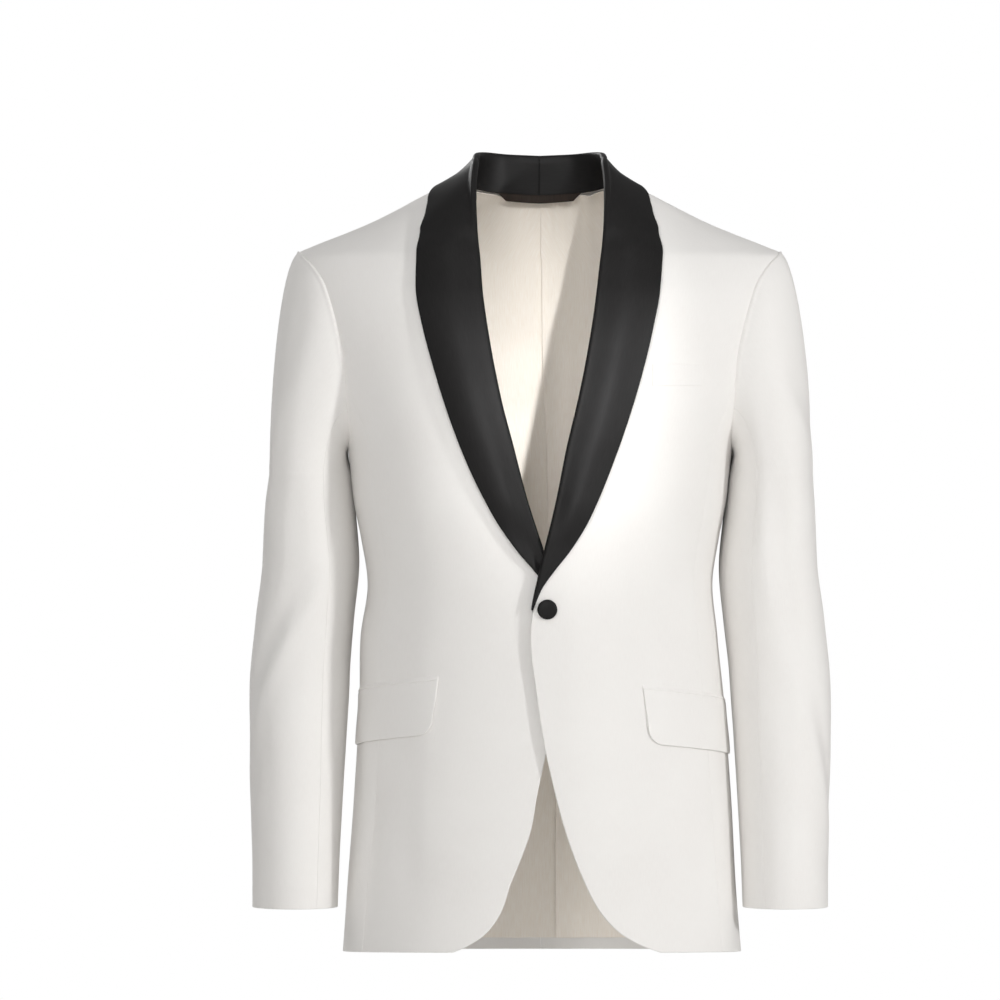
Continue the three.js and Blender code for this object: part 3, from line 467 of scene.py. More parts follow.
# Ivory wool in a fine twill, lightly brushed: matt and soft, with the faintest diagonal and a nap that
# catches light at grazing angles. Real twill lines are 0.5 mm apart, too fine to show, so they are
# drawn at 1.1 mm. In the mix node 6 and 7 are the two colours that go in, and 2 the one that comes out.
TWILL_SPACING = 1.1 * MM
YARN_LENGTH, YARN_WIDTH = 9 * MM, 0.9 * MM
NAP_GRAIN = 0.8 * MM
suiting, tree = new_material("ivory_wool_twill")
cloth = add(tree, "ShaderNodeUVMap", {"uv_map": "cloth"})
yarn_place = add(tree, "ShaderNodeMapping", {}, {
    "Vector": (cloth, "UV"), "Scale": (1 / YARN_WIDTH, 1 / YARN_LENGTH, 1)})
yarns = add(tree, "ShaderNodeTexNoise", {}, {"Vector": (yarn_place, "Vector"), "Scale": 1.0, "Detail": 2.0})
shade = add(tree, "ShaderNodeTexNoise", {}, {"Vector": (cloth, "UV"), "Scale": 11.0, "Detail": 3.0})
twill = add(tree, "ShaderNodeTexWave", {"wave_type": "BANDS", "bands_direction": "DIAGONAL"}, {
    "Vector": (cloth, "UV"), "Scale": 2 * math.pi / (10 * math.sqrt(2) * TWILL_SPACING),
    "Distortion": 1.5, "Detail": 1.0, "Detail Scale": 0.4})
nap = add(tree, "ShaderNodeTexNoise", {}, {"Vector": (cloth, "UV"), "Scale": 1 / NAP_GRAIN, "Detail": 2.0})
tone = add(tree, "ShaderNodeValToRGB", {}, {"Fac": (shade, "Fac")})
tone.color_ramp.elements[0].position, tone.color_ramp.elements[1].position = 0.3, 0.7
tone.color_ramp.elements[0].color = linear("#ebe8e5")
tone.color_ramp.elements[1].color = linear("#efedea")
thread = add(tree, "ShaderNodeMix", {"data_type": "RGBA"}, {
    "Factor": (yarns, "Fac"), 6: (tone, "Color"), 7: linear("#f2f0ed")})
twill_bump = add(tree, "ShaderNodeBump", {}, {
    "Height": (twill, "Fac"), "Strength": 0.22, "Distance": 0.12 * MM})
nap_bump = add(tree, "ShaderNodeBump", {}, {
    "Height": (nap, "Fac"), "Strength": 0.35, "Distance": 0.25 * MM, "Normal": (twill_bump, "Normal")})
wool = add(tree, "ShaderNodeBsdfPrincipled", {}, {
    "Base Color": (thread, 2), "Roughness": 0.88, "Specular IOR Level": 0.22, "IOR": 1.5,
    "Sheen Weight": 0.12, "Sheen Roughness": 0.45, "Normal": (nap_bump, "Normal")})
add(tree, "ShaderNodeOutputMaterial", {}, {"Surface": (wool, "BSDF")})

# DENSE is how many points a path has while its length is measured. A grid's size is given as a length
# and how many even lines it has, below and above the armhole's lowest point and across.
DENSE = 1200
FRONT_BELOW, FRONT_ABOVE, FRONT_ACROSS, FRONT_MIDDLE = (560, 118), (330, 74), 58, 30
for side, hand in HANDS:
    seam_top = armhole(FRONT_SEAM_TOP)[1]
    low_z, high_z = np.linspace(HEM, seam_top, DENSE), np.linspace(seam_top, NECK_POINT, DENSE)
    hole_turn, hole_z = armhole(np.linspace(FRONT_SEAM_TOP, 0, DENSE))
    low, high = shares(*FRONT_BELOW, end=False)[0], shares(*FRONT_ABOVE, start=False)[0][1:]
    inner = path(side, (front_inner(side, low_z), low_z, low), (front_inner(side, high_z), high_z, high))
    outer = path(side, (FRONT_SEAM + 0 * low_z, low_z, low), (hole_turn, hole_z, high))
    outer[0] = outer[0] - SEAM_HALF_GAP / (body["width"](outer[1]) * RAD)
    places = spread(side, inner, outer, FRONT_ACROSS)
    piece = body_panel("front_" + hand + "_cloth", side, places, FRONT_MIDDLE, ("right", "top"))
    dress(piece, "front_" + hand)

# A side panel runs under the arm between front and back, from the armhole to the hem. It replaces the
# side seam of a shirt, and its two long seams are pressed open.
PANEL_ACROSS, PANEL_UP, PANEL_RADIUS, PANEL_MIDDLE = (200, 34), (505, 118), 190, 90
for side, hand in HANDS:
    t = shares(*PANEL_ACROSS)[0]
    turn = FRONT_SEAM + (BACK_SEAM - FRONT_SEAM) * t
    turn = turn + (SEAM_HALF_GAP / (PANEL_RADIUS * RAD)) * np.sign(0.5 - t)
    top = armhole(armhole_at(turn, FRONT_SEAM_TOP, BACK_SEAM_TOP))[1]
    up = shares(*PANEL_UP)[0][:, None]
    places = (turn + 0 * up, HEM + (top - HEM) * up)
    piece = body_panel("side_panel_" + hand + "_cloth", side, places, PANEL_MIDDLE, ("left", "right", "top"))
    dress(piece, "side_panel_" + hand)


# The back is in two halves with one seam down the middle, hollowed at the waist and with no vent. Its
# neck seam curves up to the neck points.
BACK_BELOW, BACK_ABOVE, BACK_ACROSS, BACK_MIDDLE = (505, 110), (340, 80), 40, 165


def back_neck(turn):
    """The height of the neck seam on the back half."""
    return NECK_BACK + (NECK_POINT - NECK_BACK) * ((180 - turn) / 90) ** NECK_CURVE


for side, hand in HANDS:
    seam_top = armhole(BACK_SEAM_TOP)[1]
    low_z, high_z = np.linspace(HEM, seam_top, DENSE), np.linspace(seam_top, NECK_BACK, DENSE)
    neck_turn = np.linspace(180, 90, DENSE)[1:]
    hole_turn, hole_z = armhole(np.linspace(BACK_SEAM_TOP, 360, DENSE))
    low, high = shares(*BACK_BELOW, end=False)[0], shares(*BACK_ABOVE, start=False)[0][1:]
    centre_turn = np.concatenate([180 + 0 * high_z, neck_turn])
    centre_z = np.concatenate([high_z, back_neck(neck_turn)])
    inner = path(side, (180 + 0 * low_z, low_z, low), (centre_turn, centre_z, high))
    outer = path(side, (BACK_SEAM + 0 * low_z, low_z, low), (hole_turn, hole_z, high))
    gap = SEAM_HALF_GAP / (body["width"](inner[1]) * RAD)
    inner[0] = inner[0] - gap * (inner[1] < NECK_BACK)
    outer[0] = outer[0] + SEAM_HALF_GAP / (body["width"](outer[1]) * RAD)
    places = spread(side, inner, outer, BACK_ACROSS)
    piece = body_panel("back_" + hand + "_cloth", side, places, BACK_MIDDLE, ("left", "right", "top"))
    dress(piece, "back_" + hand)

# Two-piece sleeves: a top sleeve over the outside of the arm and an under sleeve inside it, set into
# the armhole with a full, slightly roped head, and bent forward at the elbow where they break in folds.
SLEEVE_FRONT_SEAM, SLEEVE_BACK_SEAM = 122, -108
ARMHOLE_TUCK = 0.9
ROPE_HEIGHT, ROPE_FROM_SEAM, ROPE_WIDTH = 1.5, 5, 3.4
HEAD_TOP, SLEEVE_TOP, CUFF = -80, -275, -705
SLEEVE_DIP, SLEEVE_RADIUS, LINE_SPACING = 0.08, 50, 3.6
HEAD_DOWN, SLEEVE_DOWN = (200, 52), (430, 110)

# Level sections under the arm: centre, half width and depth, lean of the section, outline exponent.
arm = table(
    "z x y wide deep lean square",
    (-275, 230.6, 6, 40.2, 69, 7, 2.25),
    (-310, 229.8, 8, 43.4, 66, 9, 2.3),
    (-360, 228.2, 9, 47.6, 63, 9, 2.3),
    (-420, 234, 8, 50, 60, 7, 2.2),
    (-480, 240, 3, 50.2, 57, 4, 2.1),
    (-540, 242, -5, 48.4, 54.5, 2, 2.05),
    (-600, 243, -15, 46, 51.5, 0, 2),
    (-660, 243.4, -25, 43.4, 48.5, 0, 2),
    (-705, 244, -31, 42.5, 46.5, 0, 2),
)

# How the sleeve head leaves the armhole: the direction of its first stretch, how strongly it keeps to
# it, and how strongly it hangs at the end. 0 is the shoulder, 90 the front.
head = table(
    "around x y z leave hang",
    (0, 0.92, 0, -0.32, 0.28, 1),
    (45, 0.86, -0.34, -0.36, 0.42, 0.95),
    (90, 0.9, -0.32, -0.3, 0.6, 0.85),
    (140, 0.86, -0.2, -0.46, 0.8, 0.8),
    (180, 0.82, 0, -0.57, 0.75, 0.8),
    (220, 0.86, 0.2, -0.46, 0.8, 0.8),
    (270, 0.9, 0.32, -0.3, 0.6, 0.85),
    (315, 0.86, 0.34, -0.36, 0.42, 0.95),
    (360, 0.92, 0, -0.32, 0.28, 1),
)

# Folds of the sleeve: side, where round it (0 outer side, 90 front) and up it, width, length, lean
# and depth.
sleeve_folds = [
    (-1, 24, -260, 13, 90, 0.27, -2.4),
    (-1, 48, -260, 14, 90, 0.27, 2),
    (-1, 54, -446, 14, 75, 0.55, -2.5),
    (-1, 73, -456, 11, 78, 0.55, 1.9),
    (-1, 18, -548, 9, 12, 0.3, -2.2),
    (-1, 30, -575, 10, 26, 0.6, -1.4),
    (-1, 84, -350, 12, 60, 0.1, -0.9),
    (1, 38, -212, 14, 50, 0.7, -2.8),
    (1, 62, -215, 12, 55, 0.7, 2),
    (1, 108, -345, 10, 75, 0.13, 1.9),
    (1, 88, -350, 11, 80, 0.13, -1.6),
    (1, 52, -550, 12, 75, 0.45, 2),
    (1, 31, -545, 12, 70, 0.45, -2.6),
    (1, 118, -640, 9, 60, 0, -0.9),
    (0, 178, -280, 22, 42, 0, 1.4),
    (0, -178, -280, 22, 42, 0, 1.4),
    (-1, 178, -405, 30, 60, 0, -3.4),
    (-1, -178, -405, 30, 60, 0, -3.4),
    (0, -70, -430, 30, 24, 0.35, 2.4),
    (0, -92, -220, 14, 70, 0.1, -2.4),
    (0, -40, -500, 26, 16, 0.5, -1.6),
    (0, -75, -480, 22, 15, 0.4, -1.8),
    (1, -60, -590, 14, 40, 0.3, 1.4),
    (-1, -55, -610, 12, 50, -0.2, -1.5),
]


def sleeve_point(side, turn, z):
    """The sleeve below the underarm: a level outline of rounded sections, turned a little, with the
    folds added to its half width and half depth."""
    fold = fold_depth(sleeve_folds, side, (turn + 180) % 360 - 180, z)
    exponent = 2 / arm["square"](z)
    across = (arm["wide"](z) + fold) * power(np.cos(turn * RAD), exponent)
    forward = (arm["deep"](z) + fold) * power(np.sin(turn * RAD), exponent)
    cos, sin = np.cos(arm["lean"](z) * RAD), np.sin(arm["lean"](z) * RAD)
    x = side * (arm["x"](z) + across * cos + forward * sin)
    return join(x, arm["y"](z) - forward * cos + across * sin, z + 0 * turn)


def head_point(side, turn, t):
    """The sleeve head: a cubic curve from the armhole seam at t 0, along the leaving direction, to the
    first level section at t 1, where it hangs straight down. Beside the seam it rises in a bell, the
    rope made by the seam's turnings, which fades to nothing under the arm."""
    around = turn % 360
    hole_turn, hole_z = armhole(around)
    leave = unit(join(side * head["x"](around), head["y"](around), head["z"](around)))
    start = body_point(side, hole_turn, hole_z) - leave * ARMHOLE_TUCK
    end = sleeve_point(side, turn, SLEEVE_TOP + 0 * turn)
    length = np.linalg.norm(end - start, axis=-1)
    t2, t3 = t ** 2, t ** 3
    level = HEAD_TOP + (SLEEVE_TOP - HEAD_TOP) * t
    fold = fold_depth(sleeve_folds, side, (turn + 180) % 360 - 180, level)
    weights = (2 * t3 - 3 * t2 + 1, (t3 - 2 * t2 + t) * length * head["leave"](around), 3 * t2 - 2 * t3)
    hang = (t3 - t2) * length * head["hang"](around)
    place = sum(np.asarray(w)[..., None] * v for w, v in zip(weights, (start, leave, end)))
    rope = ROPE_HEIGHT * np.exp(-((t * length - ROPE_FROM_SEAM) / ROPE_WIDTH) ** 2)
    rope = (rope * (0.5 + 0.5 * np.cos(turn * RAD)) ** 0.5)[..., None] * body_normal(side, hole_turn, hole_z)
    return place + rope + join(side * fold * 4 * t * (1 - t), 0, -hang)


for side, hand in HANDS:
    for kind, first, last, width, cut, area in (
        ("top_sleeve_", SLEEVE_BACK_SEAM, SLEEVE_FRONT_SEAM, 200, (0.25, 0.66), 0.136),
        ("under_sleeve_", SLEEVE_FRONT_SEAM, SLEEVE_BACK_SEAM + 360, 115, (0.16, 0.5), 0.059),
    ):
        half_gap = SEAM_HALF_GAP / (SLEEVE_RADIUS * RAD)
        across = shares(width, int(width / LINE_SPACING))[0]
        turn = (first + half_gap + (last - first - 2 * half_gap) * across)[None]
        head_t = shares(*HEAD_DOWN, end=False)[0][:, None]
        level = SLEEVE_TOP + (CUFF - SLEEVE_TOP) * shares(*SLEEVE_DOWN, start=False)[0][1:, None]
        grid = np.concatenate([
            head_point(side, turn + 0 * head_t, head_t + 0 * turn),
            sleeve_point(side, turn + 0 * level, level + 0 * turn),
        ])
        normal = side * grid_normal(grid)
        run = np.linalg.norm(np.diff(grid, axis=0), axis=2).mean(axis=1)
        length = np.concatenate([[0], -np.cumsum(run)])[:, None]
        round_it = (turn - (first + last) / 2) * RAD * SLEEVE_RADIUS
        uv = np.stack(np.broadcast_arrays(round_it, length), axis=-1)
        piece = shell(kind + hand + "_cloth", grid, normal, SUITING, uv, suiting,
                      ("left", "right", "bottom"), dip=SLEEVE_DIP)
        dress(piece, kind + hand)

# The shawl collar is one strip of black satin with no notch, folded over at the neck: the stand rises
# inside, the fall turns down outside, and in front the two merge into the long rolled lapels.
SATIN, LAYER_GAP, FOLD_GAP = 1.6, 0.6, 1.2
RIDGE_FROM, RIDGE_TO = 0.7, 1.3

# The places at the ends of the tables below, and where round the neck the collar's foot goes down
# under the front's edge, the stand stops reaching below its seam and the fall's edge starts to rise.
NECK_END, LAPEL_TIP = 7, 11
FOOT_GOES_UNDER, STAND_BELOW_SEAM, STAND_RISES, EDGE_RISES_FROM = 5.8, 4.5, (2, 4.5), 4
SHOULDER_HOLLOW, HOLLOW_AT, HOLLOW_WIDTH, NECK_BOW = 5, 3.9, 1.1, 1.2

# The lapel: how far the satin returns inside the front, how the lapel bows and where it goes flat, and
# how the wearer's right one is wider and stands free at its edge.
RETURN_AT_NECK, FACING_RETURN = 5, 12
LAPEL_BOW, LAPEL_EDGE_RISE, LAPEL_FLATTENS = 3, 2.8, (6.4, 8.2)
RIGHT_WIDER, RIGHT_WIDEST_AT, RIGHT_WIDER_REACH, RIGHT_WIDER_BELOW = 2.6, 1.2, 1.7, (0, 2)
RIGHT_EDGE_RISE, FREE_EDGE, FREE_EDGE_ENDS = 3.4, (0.3, 0.9), (8.8, 9.9)

# Round the neck, from the centre back: the fold's crest, its place along the neck seam (0 centre back,
# 1 neck point, 2 where the lapel starts), the outer edge, and how far the fold is turned over.
neck = table(
    "at x y z seam edgeTurn edgeZ fold",
    (0, 0, 77, 47.5, 0, 180, -3, 90),
    (1, 32, 74.5, 49, 0.21, 163, -1, 90),
    (2, 54, 60, 50.5, 0.4, 145, 3.5, 90),
    (3, 64, 37, 49, 0.62, 118, 8.5, 90),
    (4, 65, 11, 42, 0.98, 90, 11.5, 88),
    (5, 66, -14, 25, 1.2, 62, 0, 75),
    (6, 65, -38, 2, 1.46, 47.4, -15, 50),
    (7, 63, -58.5, -25, 1.72, 36, -36, 25),
)

# Down the chest: the height of the crest and of the outer edge, and the edge's distance from the
# closing line.
lapel = table(
    "at crestZ edgeZ edge",
    (0, -50, -58, 120.6),
    (1, -85, -92, 118.4),
    (2, -125, -132, 110.8),
    (3, -165, -173, 100.8),
    (4, -205, -213, 89),
    (5, -245, -254, 74.4),
    (6, -280, -290, 59.5),
    (7, -312, -322, 43.3),
    (8, -340, -350, 25),
    (9, -361, -368, 10.5),
    (10, -384, -389, -4.8),
    (11, -408, -410, -14.6),
)


def neck_seam(side, share):
    """A place on the neck seam: 0 at the centre back, 1 at the neck point, 2 where the lapel starts."""
    turn = 180 - 90 * np.clip(share, 0, 1)
    z = NECK_POINT + (NECK_FRONT - NECK_POINT) * (share - 1)
    front = share > 1
    return np.where(front, front_inner(side, z), turn), np.where(front, z, back_neck(turn))


def neck_normal(side, share):
    """The body's outward direction beside the neck seam, turned evenly over the shoulder ridge."""
    middle = ease(RIDGE_FROM, RIDGE_TO, share)[..., None]
    ends = [body_normal(side, *neck_seam(side, np.full_like(share, s))) for s in (RIDGE_FROM, RIDGE_TO)]
    over = unit(ends[0] * (1 - middle) + ends[1] * middle)
    inside = ((share >= RIDGE_FROM) & (share <= RIDGE_TO))[..., None]
    return np.where(inside, over, body_normal(side, *neck_seam(side, share)))


# Places round the fold, over the fall and from the inner end to the foot of the fold.
ARC = np.linspace(-90, 90, 13)
FALL = shares(62, 15, start=False)[0][1:]
TUCK = shares(12, 3, end=False)[0]
NECK_STEP = 0.2


def fold_section(inner, core, top, out, fall, roll=FOLD_RADIUS):
    """Sections through the folded satin, one in each row: from the inner end straight to the foot of
    the fold, round it in half an ellipse as wide as the roll, and then the points of the fall."""
    arc = [core + roll * top * math.cos(a * RAD) + FOLD_RADIUS * out * math.sin(a * RAD) for a in ARC]
    tuck = [inner + (arc[0] - inner) * t for t in TUCK[:-1]]
    return np.stack(tuck + arc + fall, axis=1)


def neck_sections(side, at):
    """The collar round the neck, where the fold stands on the neck seam and the fall lies on the body."""
    def foot_at(place):
        """The collar's foot, on the neck seam."""
        return body_point(side, *neck_seam(side, neck["seam"](np.maximum(0, place))))

    crest = join(side * neck["x"](at), neck["y"](at), neck["z"](at))
    normal = neck_normal(side, neck["seam"](at))
    away = unit(side * np.cross(normal, foot_at(at + NECK_STEP) - foot_at(at - NECK_STEP)))
    cos, sin = np.cos(neck["fold"](at) * RAD)[:, None], np.sin(neck["fold"](at) * RAD)[:, None]
    top, out = unit(normal * sin - away * cos), unit(normal * cos + away * sin)
    sunk = LAYER_GAP - (LAYER_GAP + SUITING + FOLD_GAP + SATIN) * ease(FOOT_GOES_UNDER, NECK_END, at)
    below = STAND_BELOW_SEAM * (1 - ease(*STAND_RISES, at))
    inner = foot_at(at) - away * (SATIN + LAYER_GAP) + normal * (sunk - below)[:, None]
    rest = LAYER_GAP + SATIN + LAPEL_EDGE_RISE * (0.5 + 0.5 * ease(EDGE_RISES_FROM, NECK_END, at))
    end = coat_point(side, neck["edgeTurn"](at), neck["edgeZ"](at), rest)
    core = crest - top * FOLD_RADIUS
    start = core + out * FOLD_RADIUS
    bow = (NECK_BOW - SHOULDER_HOLLOW * np.exp(-((at - HOLLOW_AT) / HOLLOW_WIDTH) ** 2))[:, None]
    fall = [start + (end - start) * t + out * bow * math.sin(math.pi * t) for t in FALL]
    return fold_section(inner, core, top, out, fall)


def lapel_sections(side, at):
    """The lapel, whose crest follows the front's edge. It bows up between crest and edge, and lies flat
    near its lower tip, where the left front closes over the right lapel, whose edge still stands free."""
    z, edge_z = lapel["crestZ"](at), lapel["edgeZ"](at)
    bowed = 1 - ease(*LAPEL_FLATTENS, at)
    free = RIGHT_EDGE_RISE * (1 - bowed) * (1 - ease(*FREE_EDGE_ENDS, at)) * (side < 0)
    crest_x = edge["line"](z) - side * edge["reach"](z)

    def inside(distance, depth):
        """The front's points at a distance from the crest towards the armhole and a depth out."""
        x = crest_x + side * distance
        return coat_point(side, turn_at(side, x, z), z, depth)

    roll = roll_width(z)
    core = inside(roll, -SUITING / 2)
    top = unit(inside(0, -SUITING / 2) - core)
    out = unit(inside(roll, FOLD_RADIUS - SUITING / 2) - core)
    returned = RETURN_AT_NECK + (FACING_RETURN - RETURN_AT_NECK) * ease(0, 1, at)
    inner = inside(returned, -SUITING - FOLD_GAP - SATIN)
    bulge = RIGHT_WIDER * np.exp(-((at - RIGHT_WIDEST_AT) / RIGHT_WIDER_REACH) ** 2)
    wider = bulge + ease(*RIGHT_WIDER_BELOW, at) if side < 0 else 0
    edge_x = edge["line"](edge_z) + side * (lapel["edge"](at) + wider)

    def fallen(t):
        """The fall's points at a share of the way from the roll to the edge."""
        x = crest_x + side * roll + (edge_x - crest_x - side * roll) * t
        height = z + (edge_z - z) * t
        rise = LAPEL_EDGE_RISE * ease(0, 0.5, t) + LAPEL_BOW * math.sin(math.pi * t)
        out = FOLD_GAP + SATIN + rise * bowed + free * ease(*FREE_EDGE, t)
        return coat_point(side, turn_at(side, x, height), height, out)

    return fold_section(inner, core, top, out, [fallen(t) for t in FALL], roll[:, None])


def bridge(before, start, end, after, count):
    """Rows between two rows: cubics that leave and arrive in the directions of the rows beyond them,
    as strongly as the two rows are apart."""
    apart = np.linalg.norm(end - start, axis=-1, keepdims=True)
    leave, arrive = unit(start - before) * apart, unit(after - end) * apart
    rows = []
    for t in np.linspace(0, 1, count + 2)[1:-1]:
        place = start * (1 + 2 * t) * (1 - t) ** 2 + end * t * t * (3 - 2 * t)
        rows.append(place + leave * t * (1 - t) ** 2 - arrive * t * t * (1 - t))
    return np.array(rows)


# Black silk satin: smooth long floats of yarn that run along the collar and give a low, wide gloss
# over a near-black ground. The floats are 0.3 mm wide, drawn at 0.7 mm so that they show.
FLOAT_WIDTH, FLOAT_LENGTH = 0.7 * MM, 14 * MM


def satin_material(name, ground, light, roughness, specular):
    """Satin weave: streaks of two close tones along the cloth, a fine bump across them."""
    material, tree = new_material(name)
    cloth = add(tree, "ShaderNodeUVMap", {"uv_map": "cloth"})
    place = add(tree, "ShaderNodeMapping", {}, {
        "Vector": (cloth, "UV"), "Scale": (1 / FLOAT_WIDTH, 1 / FLOAT_LENGTH, 1)})
    floats = add(tree, "ShaderNodeTexNoise", {}, {"Vector": (place, "Vector"), "Scale": 1.0, "Detail": 3.0})
    tone = add(tree, "ShaderNodeValToRGB", {}, {"Fac": (floats, "Fac")})
    tone.color_ramp.elements[0].position, tone.color_ramp.elements[1].position = 0.3, 0.7
    tone.color_ramp.elements[0].color, tone.color_ramp.elements[1].color = linear(ground), linear(light)
    bump = add(tree, "ShaderNodeBump", {}, {
        "Height": (floats, "Fac"), "Strength": 0.25, "Distance": 0.12 * MM})
    shader = add(tree, "ShaderNodeBsdfPrincipled", {}, {
        "Base Color": (tone, "Color"), "Roughness": roughness, "Specular IOR Level": specular,
        "IOR": 1.5, "Sheen Weight": 0.05, "Sheen Roughness": 0.3, "Normal": (bump, "Normal")})
    add(tree, "ShaderNodeOutputMaterial", {}, {"Surface": (shader, "BSDF")})
    return material


black_satin = satin_material("black_silk_satin", "#151414", "#1c1b1b", 0.5, 0.2)

# The grid of a half: its rows round the neck and down the chest, the rows that join them with the step
# that gives their directions, and the column whose length the cloth coordinates follow. Both halves
# meet on the middle plane, square to it, so that the satin runs on across.
COLLAR_ROUND, COLLAR_DOWN, JOIN_ROWS, JOIN_STEP, LENGTH_COLUMN = (210, 56), (380, 100), 9, 0.05, 20
for side, hand in HANDS:
    around_neck = np.append(shares(*COLLAR_ROUND, end=False)[0][:-1] * NECK_END, NECK_END)
    down_chest = np.append(0, shares(*COLLAR_DOWN, start=False)[0][1:] * LAPEL_TIP)
    before, start = neck_sections(side, np.array([NECK_END - JOIN_STEP, NECK_END]))
    end, after = lapel_sections(side, np.array([0, JOIN_STEP]))
    joined = bridge(before, start, end, after, JOIN_ROWS)
    grid = np.concatenate([neck_sections(side, around_neck), joined, lapel_sections(side, down_chest)])
    grid[0, :, 0] = 0
    normal = -side * grid_normal(grid)
    normal[0, :, 0] = 0
    run = np.linalg.norm(np.diff(grid[:, LENGTH_COLUMN], axis=0), axis=1)
    across = np.cumsum(np.linalg.norm(np.diff(grid, axis=1), axis=2), axis=1)
    across = np.concatenate([np.zeros((len(grid), 1)), across], axis=1)
    uv = np.stack(np.broadcast_arrays(across, np.concatenate([[0], np.cumsum(run)])[:, None]), axis=-1)
    piece = shell("shawl_collar_" + hand + "_satin", grid, normal, SATIN, uv, black_satin, whole=("bottom",))
    dress(piece, "shawl_collar_" + hand)

# The back is lined in cream satin, in two halves that lap in a loose pleat down the middle, and falls
# in soft folds from the neck. It ends above the turned-up hem.
LINING, LINING_GAP, LINING_HEM, LINING_SIDE, LINING_BELOW_NECK = 1.0, 1.2, -739, 126, 1
LINING_UP, LINING_ACROSS, LINING_MIDDLE = (745, 150), (140, 34), 165

# The pleat's edge goes from PLEAT_TOP to PLEAT_FOOT beside the middle. It rises within some degrees of
# its edge, and overlap and rise fade out towards the neck.
PLEAT_OVERLAP, PLEAT_RISE, PLEAT_TOP, PLEAT_FOOT = 12, 2.6, 2, 11
PLEAT_LIP, OVERLAP_FADES, RISE_FADES = (-7, -0.5), (-70, -20), (0, -40)

# Folds of the lining: sideways place and height of the middle, width, length, and how far it rises.
lining_folds = [
    (-36, 0, 5, 90, 2.4),
    (-20, 0, 7, 60, -1),
    (19, 0, 4.5, 110, 2.6),
    (33, 0, 4, 80, 2.2),
    (51, 0, 5.5, 120, 2.6),
    (-52, -150, 9, 120, 1.6),
    (30, -210, 8, 110, 1.8),
    (-26, -735, 9, 70, 2.6),
    (-8, -700, 6, 60, -1.6),
    (36, -730, 8, 80, 2.2),
    (64, -720, 9, 80, 1.8),
    (-70, -710, 9, 90, 1.6),
]


def lining_rise(x, z):
    """The sum of the folds' bells across and along the lining."""
    return sum(rise * np.exp(-((x - place) / width) ** 2 - ((z - middle) / long) ** 2)
               for place, middle, width, long, rise in lining_folds)


# Cream viscose satin: smooth and a little glossy, so that its folds show as soft light and shade.
lining_satin = satin_material("cream_viscose_satin", "#f5ece0", "#fbf5ec", 0.42, 0.4)

for side, hand in HANDS:
    up = shares(*LINING_UP)[0][:, None]
    t = shares(*LINING_ACROSS)[0][None]
    top = back_neck(LINING_SIDE + (180 - LINING_SIDE) * t) - LINING_BELOW_NECK
    z = LINING_HEM + (top - LINING_HEM) * up
    pleat_x = PLEAT_TOP + (PLEAT_FOOT - PLEAT_TOP) * ease(NECK_BACK, LINING_HEM, z)
    under = pleat_x + PLEAT_OVERLAP * (1 - ease(*OVERLAP_FADES, z))
    last = 180 + (-pleat_x if side > 0 else under) / (body["width"](z) * RAD)
    turn = LINING_SIDE + (last - LINING_SIDE) * t
    pleat = PLEAT_RISE * ease(*PLEAT_LIP, turn - last) * ease(*RISE_FADES, z) if side > 0 else 0
    rise = pleat + lining_rise(body_point(side, turn, z)[..., 0], z)
    piece = body_panel("back_lining_" + hand + "_satin", side, (turn, z + 0 * turn), LINING_MIDDLE, (),
                       LINING, -SUITING - LINING_GAP - rise, lining_satin)
    dress(piece, "back_lining_" + hand)

# A short tape of black grosgrain hangs from the foot of the collar stand, to hang the jacket by. It
# follows the stand, where one place of the neck's table is NECK_PLACE wide.
HANGER_HALF, HANGER_NARROWER, HANGER_DROP, TRIM = 42, 8, 8.4, 1.2
NECK_PLACE, NECK_PLACES = 32, 2

# Black grosgrain: a ribbed tape, duller than the satin and a little browner.
grosgrain = satin_material("black_grosgrain_tape", "#1f1814", "#30261f", 0.7, 0.25)
t = shares(80, 30)[0] * 2 - 1
at = np.minimum(np.abs(t) * HANGER_HALF / NECK_PLACE, NECK_PLACES)
stand_foot = np.where(t[:, None] < 0, neck_sections(-1, at)[:, 0], neck_sections(1, at)[:, 0])
down = shares(HANGER_DROP, 4)[0][:, None]
x = t * (HANGER_HALF - HANGER_NARROWER * down)
grid = join(x, stand_foot[:, 1] - TRIM + 0 * down, stand_foot[:, 2] + LAYER_GAP - HANGER_DROP * down)
uv = np.stack([grid[..., 0], grid[..., 2]], axis=-1)
normal = np.broadcast_to(np.array([0, -1.0, 0]), grid.shape)
piece = shell("hanger_loop_tape", grid, normal, TRIM, uv, grosgrain)
dress(piece, "hanger_loop")

# Each hip pocket has a flap with round corners that comes out under a narrow jet of the same cloth.
# The wearer's left one sits lower, and each leans back a little as it goes down.
FLAP, FLAP_LENGTH, FLAP_HEIGHT, FLAP_SLOPE, FLAP_CORNER = 1.6, 148, 54, 0.1, 15
FLAP_TUCK, FLAP_TOP_RISE, FLAP_STANDS_OFF, FLAP_LEAVES, FLAP_SPRINGS = 1.2, 0.9, 0.7, (0, 0.1), (0.3, 1)
JET_HEIGHT, JET_TOP_RISE, JET_SWELL = 4, 0.35, 1.25
POCKET_MIDDLE, TURN_PAST_POCKET = 45, 130


def pocket_turns(side, start, middle, distances):
    """The turns reached by going given distances round the body from a sideways place, at one height."""
    turn = np.linspace(turn_at(side, side * start, middle), TURN_PAST_POCKET, DENSE)
    run = np.cumsum(np.linalg.norm(np.diff(body_point(side, turn, middle + 0 * turn), axis=0), axis=1))
    return np.interp(distances, np.concatenate([[0], run]), turn)


